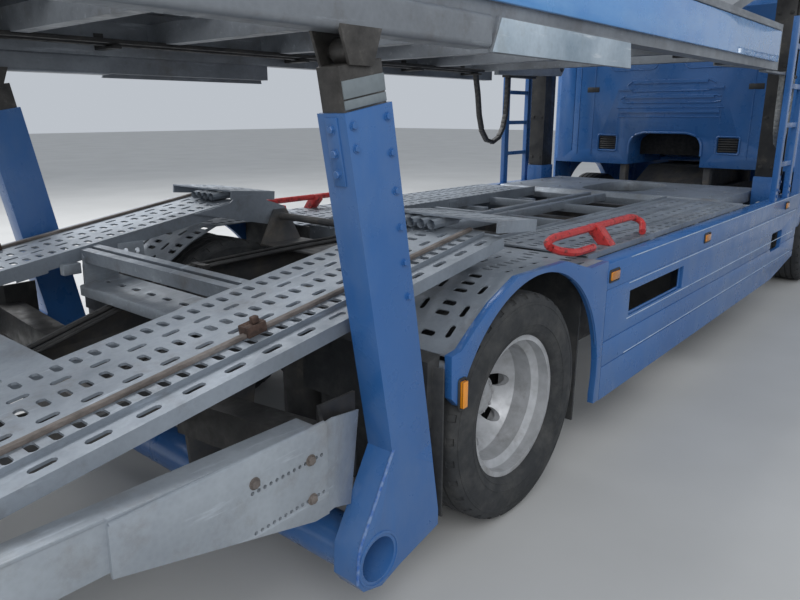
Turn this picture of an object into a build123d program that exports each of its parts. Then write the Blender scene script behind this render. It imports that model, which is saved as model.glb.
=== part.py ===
from build123d import *
from math import atan2, cos, degrees, radians, sin, tan
import os

os.makedirs("parts", exist_ok=True)

# Whole vehicle, in mm: X runs forward, Y to the left and Z up from the ground.
# The origin lies on the ground, midway between the nose and the tail.
wheelbase = 5600
front_overhang = 1400
rear_overhang = 2650
body_width = 2550
side = body_width / 2
x_rear = (rear_overhang - front_overhang - wheelbase) / 2
x_front = x_rear + wheelbase
cab_back = wheelbase - 850
mast_x = wheelbase - 1350
sides = ((1, "left"), (-1, "right"))

# Running clearances
gap = 6
seat_gap = 0.3
pin_clearance = 0.3

# Wheels
tyre_radius = 475
tyre_width = 315
bead_radius = 286
flange_radius = 298
rim_half = 118.5
rim_wall = 9
well_inside = bead_radius - 37
twin_spacing = 350
front_wheel_y = side - 25 - tyre_width / 2
rear_wheel_y = side - 5 - tyre_width / 2
disc_offset = twin_spacing / 2
disc_wall = 12
hand_hole_radius = 30
hand_hole_circle = 205
hand_hole_count = 8
hub_radius = 112
drum_radius = 205

# Axles and steering
kingpin_y = front_wheel_y - 212.5
kingpin_radius = 28
eye_radius = 52
eye_height = 90
spindle_radius = 46
rear_spindle_radius = 62
axle_tube_radius = 75
differential_radius = 215

# Chassis rails
rail_y = 430
rail_flange = 76
rail_wall = 9
rail_top = 905
rail_bottom = 640
tail_rail_top = 655
tail_rail_bottom = 470

# Lower deck
beam_top = 957
beam_bottom = 830
beam_depth = 105
beam_wall = 8
skirt_start = 722
skirt_end = wheelbase - 940
skirt_bottom = 276
skirt_thickness = 30
deck_top = 985
deck_plate = 8
track_inner = 590
track_outer = side - beam_depth - 5
track_lip = 60
outer_lip = 28
deck_start = 730
deck_end = mast_x - 960
track_joint = 2000

# Upper deck: box beams behind the side panels, with the wheel tracks between them
upper_track_top = 2165
upper_beam_top = upper_track_top + 70
upper_beam_bottom = upper_track_top - 330
upper_pivot_z = upper_track_top - 105
panel_bottom = upper_track_top - 185
panel_top = upper_track_top + 15
panel_thickness = 22
upper_beam_inner = side - panel_thickness - 93
upper_track_inner = 520
upper_track_outer = upper_beam_inner - 30
upper_rear = -2600
upper_front = mast_x - 850
panel_front = upper_front - 110
splice_rear = -320
splice_front = 780
ramp_start = upper_front - 1200
ramp_slope = 17

# Rear posts, which lean back, and their rams
post_lean = 10
post_depth = 105
post_fore_aft = 188
post_wall = 10
post_base_x = -706
post_base_z = 540
post_length = (upper_beam_bottom - 187 - post_base_z) / cos(radians(post_lean))
cross_tube_x = -880
cross_tube_z = 250
cross_tube_radius = 84
cross_tube_wall = 9
ram_clearance = 0.5
ram_head_z = upper_beam_bottom - 42
ram_head_radius = 36
ram_pin_radius = 22

# Rear platform, which climbs forward over the rear wheels
platform_slope = degrees(atan2(0.153, 1))
platform_level = 1170
platform_tail = -2600
platform_front = 20
platform_inner = 580
platform_outer = side - post_depth - 35
platform_rib = platform_outer - 160
platform_step = platform_outer - 90
platform_hinge_x = 300
platform_hinge_z = 1060
flap_slope = -5
flap_level = 1228
flap_length = 300

# Front masts and the deck above the cab
mast_size = 200
mast_inner = side - 265
mast_depth = 150
mast_base_top = 1120
mast_top = 2640
front_deck_rear = mast_x - 690
front_deck_bend = mast_x + 250
front_deck_tip = mast_x + 2700
front_deck_level = 2960
front_deck_slope = 2
front_beam_inner = side - 125
front_hinge_z = 2700

# Cab
cab_half = side - 35
cab_wall = 60
cab_floor_level = 1130
roof_height = 2690
arch_radius = 640


def across(x, z=0, slope=0):
    """Plane square to a deck that climbs forward: local x runs to the left, local y up."""
    tilt = radians(slope)
    return Plane(origin=(x_rear + x, 0, z), x_dir=(0, 1, 0), z_dir=(cos(tilt), 0, sin(tilt)))


def upright(y):
    """Side view at y: local x runs forward from the rear axle, local y up; it extrudes to the right."""
    return Plane(origin=(x_rear, y, 0), x_dir=(1, 0, 0), z_dir=(0, -1, 0))


def radial(x, y, z):
    """Plane through an axle: local x is the radius and local y runs along the axle to the left."""
    return Plane(origin=(x_rear + x, y, z), x_dir=(1, 0, 0), z_dir=(0, 0, 1))


def axle_line(x, y, z):
    return Axis((x_rear + x, y, z), (0, 1, 0))


def outer_y(hand, inner, depth):
    """Left edge of a strip that starts inner from the middle and is depth wide, on either side."""
    return inner + depth if hand > 0 else -inner


def platform_z(x):
    """Height of the rear platform's plate at x."""
    return platform_level + tan(radians(platform_slope)) * x


# Tyres: flat tread, bevelled shoulders and walls that draw in to the rim's flanges
def tyre_section():
    half = tyre_width / 2
    with BuildLine() as outline:
        Polyline((tyre_radius, 42 - half), (tyre_radius, half - 42), (tyre_radius - 30, half - 9),
                 (tyre_radius - 95, half), (flange_radius + 3, rim_half + 5),
                 (flange_radius + 1, rim_half - 10.5),
                 (bead_radius, rim_half - 16.5), (bead_radius, 16.5 - rim_half),
                 (flange_radius + 1, 10.5 - rim_half), (flange_radius + 3, -rim_half - 5),
                 (tyre_radius - 95, -half), (tyre_radius - 30, 9 - half), close=True)
    make_face(outline.edges())


# Pressed steel rim, flanged at both edges and stepped in to its well; face is +1 with the disc inboard
def rim_section(face):
    seat = bead_radius - seat_gap
    half = rim_half
    with BuildLine() as outline:
        Polyline((flange_radius, face * half), (flange_radius, face * (half - 10)),
                 (seat, face * (half - 16)),
                 (seat, face * (16 - half)), (flange_radius, face * (10 - half)),
                 (flange_radius, -face * half),
                 (well_inside, -face * half), (well_inside, face * 50), (seat - rim_wall, face * 72),
                 (seat - rim_wall, face * half), close=True)
    make_face(outline.edges())


# Dished disc from the hub's face out to the well of the rim
def disc_section(face):
    weld = well_inside + 2
    back = -face * disc_offset
    with BuildLine() as outline:
        Polyline((0, back), (165, back), (weld, -face * 60), (weld, -face * 30),
                 (160, back + face * disc_wall), (0, back + face * disc_wall), close=True)
    make_face(outline.edges())


def cylinder_section(radius, start, end, inner=0):
    """Half section of a ring about the axle, between two places along it."""
    with BuildLine() as outline:
        Polyline((inner, start), (radius, start), (radius, end), (inner, end), close=True)
    make_face(outline.edges())


for hand, name in sides:
    outer_wheel = hand * rear_wheel_y
    inner_wheel = hand * (rear_wheel_y - twin_spacing)
    with BuildPart() as tyres_rear:
        for wheel_y in (outer_wheel, inner_wheel):
            with BuildSketch(radial(0, wheel_y, tyre_radius)):
                tyre_section()
            revolve(axis=axle_line(0, wheel_y, tyre_radius))
    tyres_rear.part.label = f"tyres_rear_{name}"
    export_step(tyres_rear.part, f"parts/tyres_rear_{name}.step")

    mating_face = hand * (rear_wheel_y - disc_offset)
    with BuildPart() as wheels_rear:
        with BuildSketch(radial(0, outer_wheel, tyre_radius)):
            rim_section(hand)
            disc_section(hand)
        with BuildSketch(radial(0, inner_wheel, tyre_radius)):
            rim_section(-hand)
            disc_section(-hand)
        with BuildSketch(radial(0, mating_face, tyre_radius)):
            cylinder_section(hub_radius, -hand * 130, hand * 95)
            cylinder_section(hub_radius - 26, hand * 90, hand * 130)
            cylinder_section(drum_radius, -hand * 215, -hand * 60, hub_radius - 5)
        revolve(axis=axle_line(0, 0, tyre_radius))
        with BuildSketch(radial(0, mating_face, tyre_radius)):
            cylinder_section(rear_spindle_radius + pin_clearance, -hand * 240, hand * 60)
        revolve(axis=axle_line(0, 0, tyre_radius), mode=Mode.SUBTRACT)
        with Locations(Plane(origin=(x_rear, mating_face, tyre_radius), x_dir=(1, 0, 0), z_dir=(0, hand, 0))):
            with PolarLocations(hand_hole_circle, hand_hole_count):
                Cylinder(hand_hole_radius, 300, mode=Mode.SUBTRACT)
    wheels_rear.part.label = f"wheels_rear_{name}"
    export_step(wheels_rear.part, f"parts/wheels_rear_{name}.step")

    front_wheel = hand * front_wheel_y
    with BuildPart() as tyre_front:
        with BuildSketch(radial(wheelbase, front_wheel, tyre_radius)):
            tyre_section()
        revolve(axis=axle_line(wheelbase, front_wheel, tyre_radius))
    tyre_front.part.label = f"tyre_front_{name}"
    export_step(tyre_front.part, f"parts/tyre_front_{name}.step")

    front_face = hand * 120
    with BuildPart() as wheel_front:
        with BuildSketch(radial(wheelbase, front_wheel, tyre_radius)):
            rim_section(hand)
            with BuildLine():
                Polyline((70, front_face), (165, front_face), (well_inside + 2, hand * 10),
                         (well_inside + 2, hand * 36), (168, front_face + hand * disc_wall),
                         (70, front_face + hand * disc_wall), close=True)
            make_face()
            cylinder_section(hub_radius, -hand * 40, front_face + hand * 24)
            cylinder_section(drum_radius, -hand * 100, hand * 20, hub_radius - 5)
            cylinder_section(hub_radius - 4, -hand * 40, hand * -30, 60)
        revolve(axis=axle_line(wheelbase, 0, tyre_radius))
        with BuildSketch(radial(wheelbase, front_wheel, tyre_radius)):
            cylinder_section(spindle_radius + pin_clearance, -hand * 120, hand * 90)
        revolve(axis=axle_line(wheelbase, 0, tyre_radius), mode=Mode.SUBTRACT)
        with Locations(Plane(origin=(x_front, front_wheel, tyre_radius), x_dir=(1, 0, 0),
                             z_dir=(0, hand, 0))):
            with PolarLocations(hand_hole_circle, hand_hole_count):
                Cylinder(hand_hole_radius - 6, 400, mode=Mode.SUBTRACT)
    wheel_front.part.label = f"wheel_front_{name}"
    export_step(wheel_front.part, f"parts/wheel_front_{name}.step")

    # Steering knuckle: kingpin, ears above and below the axle's eye, web and spindle
    spindle_end = front_wheel_y + 85
    with BuildPart() as knuckle:
        with BuildSketch(Plane.XY.offset(tyre_radius - eye_height)):
            with Locations((x_front, hand * kingpin_y)):
                Circle(kingpin_radius)
        extrude(amount=2 * eye_height)
        for ear_bottom in (tyre_radius - eye_height, tyre_radius + eye_height / 2 + 4):
            with BuildSketch(Plane.XY.offset(ear_bottom)):
                with Locations((x_front, hand * kingpin_y)):
                    Circle(eye_radius)
                with Locations((x_front, hand * (kingpin_y + 40))):
                    Rectangle(2 * eye_radius, 80)
            extrude(amount=eye_height / 2 - 4)
        with BuildSketch(Plane(origin=(x_front, hand * (kingpin_y + eye_radius + 4), tyre_radius),
                               x_dir=(1, 0, 0), z_dir=(0, hand, 0))):
            Rectangle(2 * eye_radius, 2 * eye_height)
        extrude(amount=24)
        with BuildSketch(radial(wheelbase, 0, tyre_radius)):
            cylinder_section(spindle_radius, hand * (kingpin_y + eye_radius + 20), hand * spindle_end)
        revolve(axis=axle_line(wheelbase, 0, tyre_radius))
    knuckle.part.label = f"knuckle_{name}"
    export_step(knuckle.part, f"parts/knuckle_{name}.step")


# Front axle: dropped beam between the two kingpin eyes
with BuildPart() as front_axle:
    with BuildSketch(Plane(origin=(x_front, 0, 0), x_dir=(0, 1, 0), z_dir=(1, 0, 0))):
        eye_top = tyre_radius + eye_height / 2
        with BuildLine():
            Polyline((-kingpin_y, eye_top), (-kingpin_y, eye_top - eye_height),
                     (-640, eye_top - eye_height),
                     (-520, 330), (520, 330), (640, eye_top - eye_height),
                     (kingpin_y, eye_top - eye_height),
                     (kingpin_y, eye_top), (620, eye_top), (500, 430), (-500, 430),
                     (-620, eye_top), close=True)
        make_face()
    extrude(amount=40, both=True)
    with BuildSketch(Plane.XY.offset(tyre_radius - eye_height / 2)):
        with Locations((x_front, kingpin_y), (x_front, -kingpin_y)):
            Circle(eye_radius)
    extrude(amount=eye_height)
    with Locations((x_front, kingpin_y, tyre_radius), (x_front, -kingpin_y, tyre_radius)):
        Cylinder(kingpin_radius + pin_clearance, 2 * eye_height, mode=Mode.SUBTRACT)
front_axle.part.label = "front_axle"
export_step(front_axle.part, "parts/front_axle.step")


# Rear axle: banjo housing with its differential, and a spindle for each pair of wheels
with BuildPart() as rear_axle:
    drum_back = rear_wheel_y - disc_offset - 215
    spindle_tip = rear_wheel_y - disc_offset + 50
    with BuildSketch(radial(0, 0, tyre_radius)):
        cylinder_section(axle_tube_radius, -drum_back + 20, drum_back - 20)
        cylinder_section(rear_spindle_radius, -spindle_tip, spindle_tip)
    revolve(axis=axle_line(0, 0, tyre_radius))
    with BuildSketch(radial(0, 0, tyre_radius)):
        with BuildLine():
            Polyline((-170, 0), (-170, 110), (-70, differential_radius), (70, differential_radius),
                     (200, 95), (430, 80), (430, 0), close=True)
        make_face()
    revolve(axis=Axis((x_rear, 0, tyre_radius), (1, 0, 0)))
rear_axle.part.label = "rear_axle"
export_step(rear_axle.part, "parts/rear_axle.step")


# Chassis: two channel rails, cranked down at the tail, with cross-members between their webs
rail_outline = ((platform_tail + 60, tail_rail_bottom), (-1380, tail_rail_bottom), (-560, rail_bottom),
                (wheelbase + 1050, rail_bottom), (wheelbase + 1050, rail_top - 60),
                (wheelbase + 700, rail_top),
                (-420, rail_top), (-1320, tail_rail_top), (platform_tail + 60, tail_rail_top))
# Cross-members: place ahead of the rear axle, bottom, top
cross_members = ((-2495, 490, 640), (-1900, 490, 640), (-1250, 500, 640), (-460, 700, 840),
                 (640, 680, 860), (1600, 680, 860), (2600, 680, 860), (wheelbase - 2000, 680, 860),
                 (wheelbase - 1040, 680, 860), (wheelbase + 960, 660, 800))
hanger_wall = 16
hinge_pin_radius = 20
cab_mounts = (wheelbase - 760, wheelbase + 620)
with BuildPart() as chassis_frame:
    for hand, name in sides:
        rail_left = outer_y(hand, rail_y - rail_flange, rail_flange)
        with BuildSketch(upright(rail_left)):
            with BuildLine():
                Polyline(*rail_outline, close=True)
            make_face()
        extrude(amount=rail_flange)
        pocket_left = rail_left - rail_wall if hand > 0 else rail_left + 1
        with BuildSketch(upright(pocket_left)):
            with BuildLine():
                Polyline(*rail_outline, close=True)
            make_face()
            offset(amount=-rail_wall, mode=Mode.REPLACE)
        extrude(amount=rail_flange - rail_wall + 1, mode=Mode.SUBTRACT)
    for place, bottom, top in cross_members:
        with BuildSketch(upright(rail_y - rail_wall)):
            with Locations((place, (bottom + top) / 2)):
                Rectangle(90, top - bottom)
                Rectangle(90 - 2 * rail_wall, top - bottom - 2 * rail_wall, mode=Mode.SUBTRACT)
        extrude(amount=2 * (rail_y - rail_wall))
    for hand, name in sides:
        # Hangers for the cross tube of the rear posts, outside the tail of the rails
        with BuildSketch(upright(outer_y(hand, rail_y, hanger_wall))):
            with BuildLine():
                Polyline((cross_tube_x - 150, 575), (cross_tube_x - 130, cross_tube_z),
                         (cross_tube_x - 80, cross_tube_z - 110), (cross_tube_x + 80, cross_tube_z - 110),
                         (cross_tube_x + 130, cross_tube_z), (cross_tube_x + 190, 640),
                         (cross_tube_x + 100, 700), close=True)
            make_face()
            with Locations((cross_tube_x, cross_tube_z)):
                Circle(cross_tube_radius + pin_clearance, mode=Mode.SUBTRACT)
        extrude(amount=hanger_wall)
        # Ears for the hinge of the rear platform
        with BuildSketch(upright(outer_y(hand, platform_inner - 12 - gap - 14, 14))):
            with BuildLine():
                Polyline((platform_hinge_x - 150, rail_top), (platform_hinge_x - 45, platform_hinge_z + 40),
                         (platform_hinge_x + 45, platform_hinge_z + 40), (platform_hinge_x + 150, rail_top),
                         close=True)
            make_face()
        extrude(amount=14)
        # Mounts under the floor of the cab
        for place in cab_mounts:
            with BuildSketch(Plane.XY.offset(rail_top)):
                with Locations((x_rear + place, hand * (rail_y - 10))):
                    Rectangle(90, 60)
            extrude(amount=cab_floor_level - rail_top)
    with BuildSketch(radial(platform_hinge_x, 0, platform_hinge_z)):
        cylinder_section(hinge_pin_radius, -platform_inner - 4, platform_inner + 4)
    revolve(axis=axle_line(platform_hinge_x, 0, platform_hinge_z))
    with BuildSketch(Plane.XY.offset(rail_top)):
        with Locations((x_rear + platform_hinge_x, 0)):
            Rectangle(300, 2 * (platform_inner - 12 - gap))
    extrude(amount=10)
chassis_frame.part.label = "chassis_frame"
export_step(chassis_frame.part, "parts/chassis_frame.step")


# Springs: leaf packs on the front axle, air bellows with their arms on the rear axle
with BuildPart() as springs:
    for hand, name in sides:
        leaf_left = outer_y(hand, rail_y - 85, 90)
        with BuildSketch(upright(leaf_left)):
            with BuildLine():
                Polyline((wheelbase - 800, 622), (wheelbase - 800, 590), (wheelbase - 60, 430),
                         (wheelbase + 60, 430),
                         (wheelbase + 800, 590), (wheelbase + 800, 622), (wheelbase + 70, 480),
                         (wheelbase - 70, 480), close=True)
            make_face()
            for end in (-770, 770):
                with Locations((wheelbase + end, 620)):
                    Rectangle(60, 40)
        extrude(amount=90)
        with BuildSketch(upright(leaf_left)):
            with BuildLine():
                Polyline((-460, 330), (-460, 295), (420, 360), (620, 520), (620, 640), (560, 640),
                         (560, 540), (400, 400), close=True)
            make_face()
            with Locations((0, 385)):
                Rectangle(150, 80)
            with Locations((0, tyre_radius)):
                Circle(axle_tube_radius, mode=Mode.SUBTRACT)
        extrude(amount=90)
        with Locations((x_rear - 360, hand * (rail_y - 40), 485)):
            Cylinder(115, 310)
springs.part.label = "springs"
export_step(springs.part, "parts/springs.step")


# Engine and gearbox, a plain mass between the rails
with BuildPart() as engine:
    with BuildSketch(upright(330)):
        with BuildLine():
            Polyline((wheelbase - 780, 560), (wheelbase - 330, 470), (wheelbase - 330, 700),
                     (wheelbase + 330, 700),
                     (wheelbase + 330, 470), (wheelbase + 900, 470), (wheelbase + 900, 1100),
                     (wheelbase - 330, 1100), (wheelbase - 780, 900), close=True)
        make_face()
    extrude(amount=660)
    with BuildSketch(upright(rail_y - rail_flange)):
        with Locations((wheelbase - 560, rail_bottom + 30), (wheelbase + 600, rail_bottom + 30)):
            Rectangle(80, 60)
    extrude(amount=2 * (rail_y - rail_flange))
engine.part.label = "engine"
export_step(engine.part, "parts/engine.step")


# Tanks and boxes behind the skirts, hung on the outside of the rails
tank_start = 2300
with BuildPart() as tanks:
    for hand, name in sides:
        with BuildSketch(across(tank_start)):
            with Locations((hand * (rail_y + 300), 490)):
                RectangleRounded(600, 390, 40)
        extrude(amount=mast_x - 450 - tank_start)
        with BuildSketch(across(900)):
            with Locations((hand * (rail_y + 240), 530)):
                RectangleRounded(480, 340, 40)
        extrude(amount=900)
tanks.part.label = "tanks"
export_step(tanks.part, "parts/tanks.step")


# Lower deck frame: outriggers from the rails to the side beams, and the frame behind the cab
outrigger_spacing = (skirt_end - 260 - deck_start) / 5
inner_bars = (1000, 1770, 2560)
with BuildPart() as deck_frame:
    for hand, name in sides:
        for step in range(6):
            with BuildSketch(across(deck_start + 40 + step * outrigger_spacing)):
                inner = hand * rail_y
                outer = hand * (side - beam_depth)
                with BuildLine():
                    Polyline((inner, 700), (outer, beam_bottom), (outer, deck_top - outer_lip),
                             (hand * (track_outer - 14), deck_top - outer_lip),
                             (hand * (track_outer - 18), deck_top - track_lip),
                             (inner, deck_top - track_lip),
                             close=True)
                make_face()
            extrude(amount=60)
    # Inner rails along the middle, on flat bars across the chassis
    for place in inner_bars:
        with BuildSketch(across(place)):
            with Locations((0, rail_top + 30)):
                Rectangle(2 * track_inner, 60)
        extrude(amount=40)
    for hand, name in sides:
        with BuildSketch(across(deck_start)):
            with Locations((hand * 65, deck_top - 30)):
                Rectangle(45, 60)
        extrude(amount=deck_end - deck_start)
    # Frame behind the cab, with its long oval opening and a bevelled rear edge
    with BuildSketch(upright(mast_inner - 25)):
        with BuildLine():
            Polyline((deck_end + 5, rail_top), (deck_end + 5, deck_top - 30), (deck_end + 50, deck_top + 8),
                     (skirt_end - 180, deck_top + 8), (skirt_end - 180, rail_top), close=True)
        make_face()
    extrude(amount=2 * (mast_inner - 25))
    with BuildSketch(Plane.XY.offset(rail_top - 1)):
        with Locations((x_rear + (deck_end + skirt_end - 180) / 2, 0)):
            SlotOverall(980, 560)
    extrude(amount=deck_top + 10 - rail_top, mode=Mode.SUBTRACT)
deck_frame.part.label = "deck_frame"
export_step(deck_frame.part, "parts/deck_frame.step")


# Side beams, channels along both sides of the lower deck
with BuildPart() as side_beams:
    for hand, name in sides:
        with BuildSketch(across(skirt_start)):
            with Locations((hand * (side - beam_depth / 2), (beam_top + beam_bottom) / 2)):
                Rectangle(beam_depth, beam_top - beam_bottom)
            with Locations((hand * (side - beam_depth / 2 - beam_wall), (beam_top + beam_bottom) / 2)):
                Rectangle(beam_depth, beam_top - beam_bottom - 2 * beam_wall, mode=Mode.SUBTRACT)
        extrude(amount=skirt_end - skirt_start)
side_beams.part.label = "side_beams"
export_step(side_beams.part, "parts/side_beams.step")


# Side panels: skirts under the side beams with their recesses, and faceted wings over the wheels
wing_top = ((718, 971), (539, 967), (302, 1037), (-85, 1039), (-254, 970), (-364, 900), (-447, 840),
            (-504, 834))
arch_centre = (90, 440)
arch_opening = 580
skirt_seams = (449, 575)
with BuildPart() as side_panels:
    for hand, name in sides:
        with BuildSketch(upright(outer_y(hand, side - skirt_thickness, skirt_thickness))):
            with BuildLine():
                Polyline((skirt_start, skirt_bottom), (skirt_end - 703, skirt_bottom + 24),
                         (skirt_end, 398),
                         (skirt_end, beam_bottom), (skirt_start, beam_bottom), close=True)
            make_face()
            with Locations((1385, 712)):
                Rectangle(770, 130, mode=Mode.SUBTRACT)
            with Locations((skirt_end - 675, 625)):
                RectangleRounded(330, 150, 30, mode=Mode.SUBTRACT)
        extrude(amount=skirt_thickness)
        # Seams between the three planks of the skirt
        for level in skirt_seams:
            with BuildSketch(across(skirt_start - 1)):
                with Locations((hand * side, level)):
                    Rectangle(10, 8)
            extrude(amount=skirt_end - skirt_start + 2, mode=Mode.SUBTRACT)
        with BuildSketch(upright(outer_y(hand, side - skirt_thickness, skirt_thickness))):
            with BuildLine():
                Polyline(*wing_top, (-500, 678), (-420, 600), (718, 600), close=True)
            make_face()
            with BuildLine():
                Polyline((718, 600), (718, skirt_bottom + 4), (660, skirt_bottom + 4),
                         (650, 600), close=True)
            make_face()
            with Locations(arch_centre):
                Circle(arch_opening, mode=Mode.SUBTRACT)
        extrude(amount=skirt_thickness)
side_panels.part.label = "side_panels"
export_step(side_panels.part, "parts/side_panels.step")


# Forward wheel tracks of the lower deck: plates in two lengths, with a turned-down lip along each edge
track_lengths = ((deck_start, track_joint - 5), (track_joint + 5, deck_end))
with BuildPart() as deck_tracks:
    for hand, name in sides:
        for track_rear, track_front in track_lengths:
            with BuildSketch(across(track_rear)):
                with BuildLine():
                    Polyline((hand * track_inner, deck_top - track_lip),
                             (hand * track_inner, deck_top + 14),
                             (hand * (track_inner + deck_plate), deck_top + 14),
                             (hand * (track_inner + deck_plate), deck_top),
                             (hand * track_outer, deck_top), (hand * track_outer, deck_top - outer_lip),
                             (hand * (track_outer - deck_plate), deck_top - outer_lip),
                             (hand * (track_outer - deck_plate), deck_top - deck_plate),
                             (hand * (track_inner + deck_plate), deck_top - deck_plate),
                             (hand * (track_inner + deck_plate), deck_top - track_lip), close=True)
                make_face()
            extrude(amount=track_front - track_rear)
deck_tracks.part.label = "deck_tracks"
export_step(deck_tracks.part, "parts/deck_tracks.step")


# Mudguards: folded plate over each pair of rear wheels, from the wing in to the rail
mudguard_inner = 640
stay_radius = 16
mudguard_stays = ((586, 860), (-493, 790))
with BuildPart() as mudguards:
    for hand, name in sides:
        with BuildSketch(upright(outer_y(hand, mudguard_inner, side - skirt_thickness - mudguard_inner))):
            with BuildLine():
                Polyline(*wing_top)
                offset(amount=6, side=Side.LEFT)
            make_face()
        extrude(amount=side - skirt_thickness - mudguard_inner)
        for place, level in mudguard_stays:
            with BuildSketch(radial(place, 0, level)):
                cylinder_section(stay_radius, hand * rail_y, hand * (side - skirt_thickness))
            revolve(axis=axle_line(place, 0, level))
mudguards.part.label = "mudguards"
export_step(mudguards.part, "parts/mudguards.step")


# Rubber mud flaps ahead of and behind the rear wheels
with BuildPart() as mud_flaps:
    for hand, name in sides:
        flap_left = outer_y(hand, 600, side - skirt_thickness - 20 - 600)
        with BuildSketch(upright(flap_left)):
            with BuildLine():
                Polyline((-505, 832), (-572, 820), (-580, 575), (-545, 575), (-512, 760), close=True)
            make_face()
            with BuildLine():
                Polyline((560, 960), (540, 220), (552, 220), (572, 960), close=True)
            make_face()
        extrude(amount=side - skirt_thickness - 20 - 600)
mud_flaps.part.label = "mud_flaps"
export_step(mud_flaps.part, "parts/mud_flaps.step")


# Cross tube and rear posts: leaning box posts welded to feet at the ends of the tube
foot_outline = ((-601, 478), (-568, 284), (-567, 224), (-775, 175), (-867, 144), (-953, 169), (-979, 209),
                (-973, 318), (-812, 599))
lean = radians(post_lean)
with BuildPart() as rear_posts:
    for hand, name in sides:
        middle = hand * (side - post_depth / 2)
        with BuildSketch(Plane(origin=(x_rear + post_base_x, middle, post_base_z),
                               x_dir=(cos(lean), 0, sin(lean)), z_dir=(-sin(lean), 0, cos(lean)))):
            Rectangle(post_fore_aft, post_depth)
        extrude(amount=post_length)
        with BuildSketch(upright(outer_y(hand, side - post_depth, post_depth))):
            with BuildLine():
                Polyline(*foot_outline, close=True)
            make_face()
        extrude(amount=post_depth)
        with BuildSketch(Plane(origin=(x_rear + post_base_x, middle, post_base_z),
                               x_dir=(cos(lean), 0, sin(lean)), z_dir=(-sin(lean), 0, cos(lean)))):
            Rectangle(post_fore_aft - 2 * post_wall, post_depth - 2 * post_wall)
        extrude(amount=post_length + 1, mode=Mode.SUBTRACT)
    with BuildSketch(radial(cross_tube_x, 0, cross_tube_z)):
        cylinder_section(cross_tube_radius, -side, side, cross_tube_radius - cross_tube_wall)
    revolve(axis=axle_line(cross_tube_x, 0, cross_tube_z))
    with BuildSketch(radial(cross_tube_x, 0, cross_tube_z)):
        cylinder_section(cross_tube_radius - cross_tube_wall, -side, side)
    revolve(axis=axle_line(cross_tube_x, 0, cross_tube_z), mode=Mode.SUBTRACT)
rear_posts.part.label = "rear_posts"
export_step(rear_posts.part, "parts/rear_posts.step")


# Rams: inner box members with an eye for the upper deck's pin
ram_fore_aft = post_fore_aft - 2 * post_wall - 2 * ram_clearance
ram_depth = post_depth - 2 * post_wall - 2 * ram_clearance
ram_head_x = post_base_x - (ram_head_z - post_base_z) * tan(lean)
ram_reach = (ram_head_z - post_base_z) / cos(lean)
ram_foot = 60
with BuildPart() as post_rams:
    for hand, name in sides:
        middle = hand * (side - post_depth / 2)
        with BuildSketch(Plane(origin=(x_rear + post_base_x - ram_foot * sin(lean), middle,
                                       post_base_z + ram_foot * cos(lean)),
                               x_dir=(cos(lean), 0, sin(lean)), z_dir=(-sin(lean), 0, cos(lean)))):
            Rectangle(ram_fore_aft, ram_depth)
        extrude(amount=ram_reach - ram_foot - 30)
        with BuildSketch(Plane(origin=(x_rear + post_base_x - ram_foot * sin(lean), middle,
                                       post_base_z + ram_foot * cos(lean)),
                               x_dir=(cos(lean), 0, sin(lean)), z_dir=(-sin(lean), 0, cos(lean)))):
            Rectangle(ram_fore_aft - 20, ram_depth - 16)
        extrude(amount=ram_reach - ram_foot - 90, mode=Mode.SUBTRACT)
        with BuildSketch(radial(ram_head_x, middle, ram_head_z)):
            cylinder_section(ram_head_radius, -ram_depth / 2 + 8, ram_depth / 2 - 8)
        revolve(axis=axle_line(ram_head_x, 0, ram_head_z))
        with BuildSketch(radial(ram_head_x, middle, ram_head_z)):
            cylinder_section(ram_pin_radius + 3, -ram_depth, ram_depth)
        revolve(axis=axle_line(ram_head_x, 0, ram_head_z), mode=Mode.SUBTRACT)
post_rams.part.label = "post_rams"
export_step(post_rams.part, "parts/post_rams.step")


# Rear side rails: galvanised channels behind the posts, with cranked adjusting plates
with BuildPart() as rear_rails:
    for hand, name in sides:
        with BuildSketch(across(platform_tail + 40)):
            with Locations((hand * (side - 65), 725)):
                Rectangle(80, 130)
            with Locations((hand * (side - 71), 725)):
                Rectangle(80, 114, mode=Mode.SUBTRACT)
        extrude(amount=-platform_tail - 40 - 1110)
        with BuildSketch(upright(outer_y(hand, side - 25, 10))):
            with BuildLine():
                Polyline((-1722, 776), (-1724, 648), (-1130, 502), (-1075, 502), (-1075, 792), close=True)
            make_face()
        extrude(amount=10)
        with BuildSketch(Plane.XY.offset(502)):
            with BuildLine():
                Polyline((x_rear - 1085, hand * (side - 15)), (x_rear - 1010, hand * (side - 113)),
                         (x_rear - 860, hand * (side - 113)), (x_rear - 860, hand * (side - 123)),
                         (x_rear - 1016, hand * (side - 123)),
                         (x_rear - 1090, hand * (side - 25)), close=True)
            make_face()
        extrude(amount=290)
        with BuildSketch(across(-1060)):
            with BuildLine():
                Polyline((hand * (rail_y + hanger_wall), 640), (hand * (rail_y + hanger_wall), 500),
                         (hand * (side - 123), 560), (hand * (side - 123), 700), close=True)
            make_face()
        extrude(amount=120)
rear_rails.part.label = "rear_rails"
export_step(rear_rails.part, "parts/rear_rails.step")


# Tail bar: under-run beam with the lamp carriers, on arms from the rails
with BuildPart() as tail_bar:
    with BuildSketch(upright(side - 20)):
        with Locations((platform_tail + 10, 545)):
            RectangleRounded(100, 150, 12)
    extrude(amount=2 * (side - 20))
    for hand, name in sides:
        with BuildSketch(across(platform_tail - 30)):
            with Locations((hand * (side - 65), 700)):
                Rectangle(70, 180)
        extrude(amount=70)
tail_bar.part.label = "tail_bar"
export_step(tail_bar.part, "parts/tail_bar.step")

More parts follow.
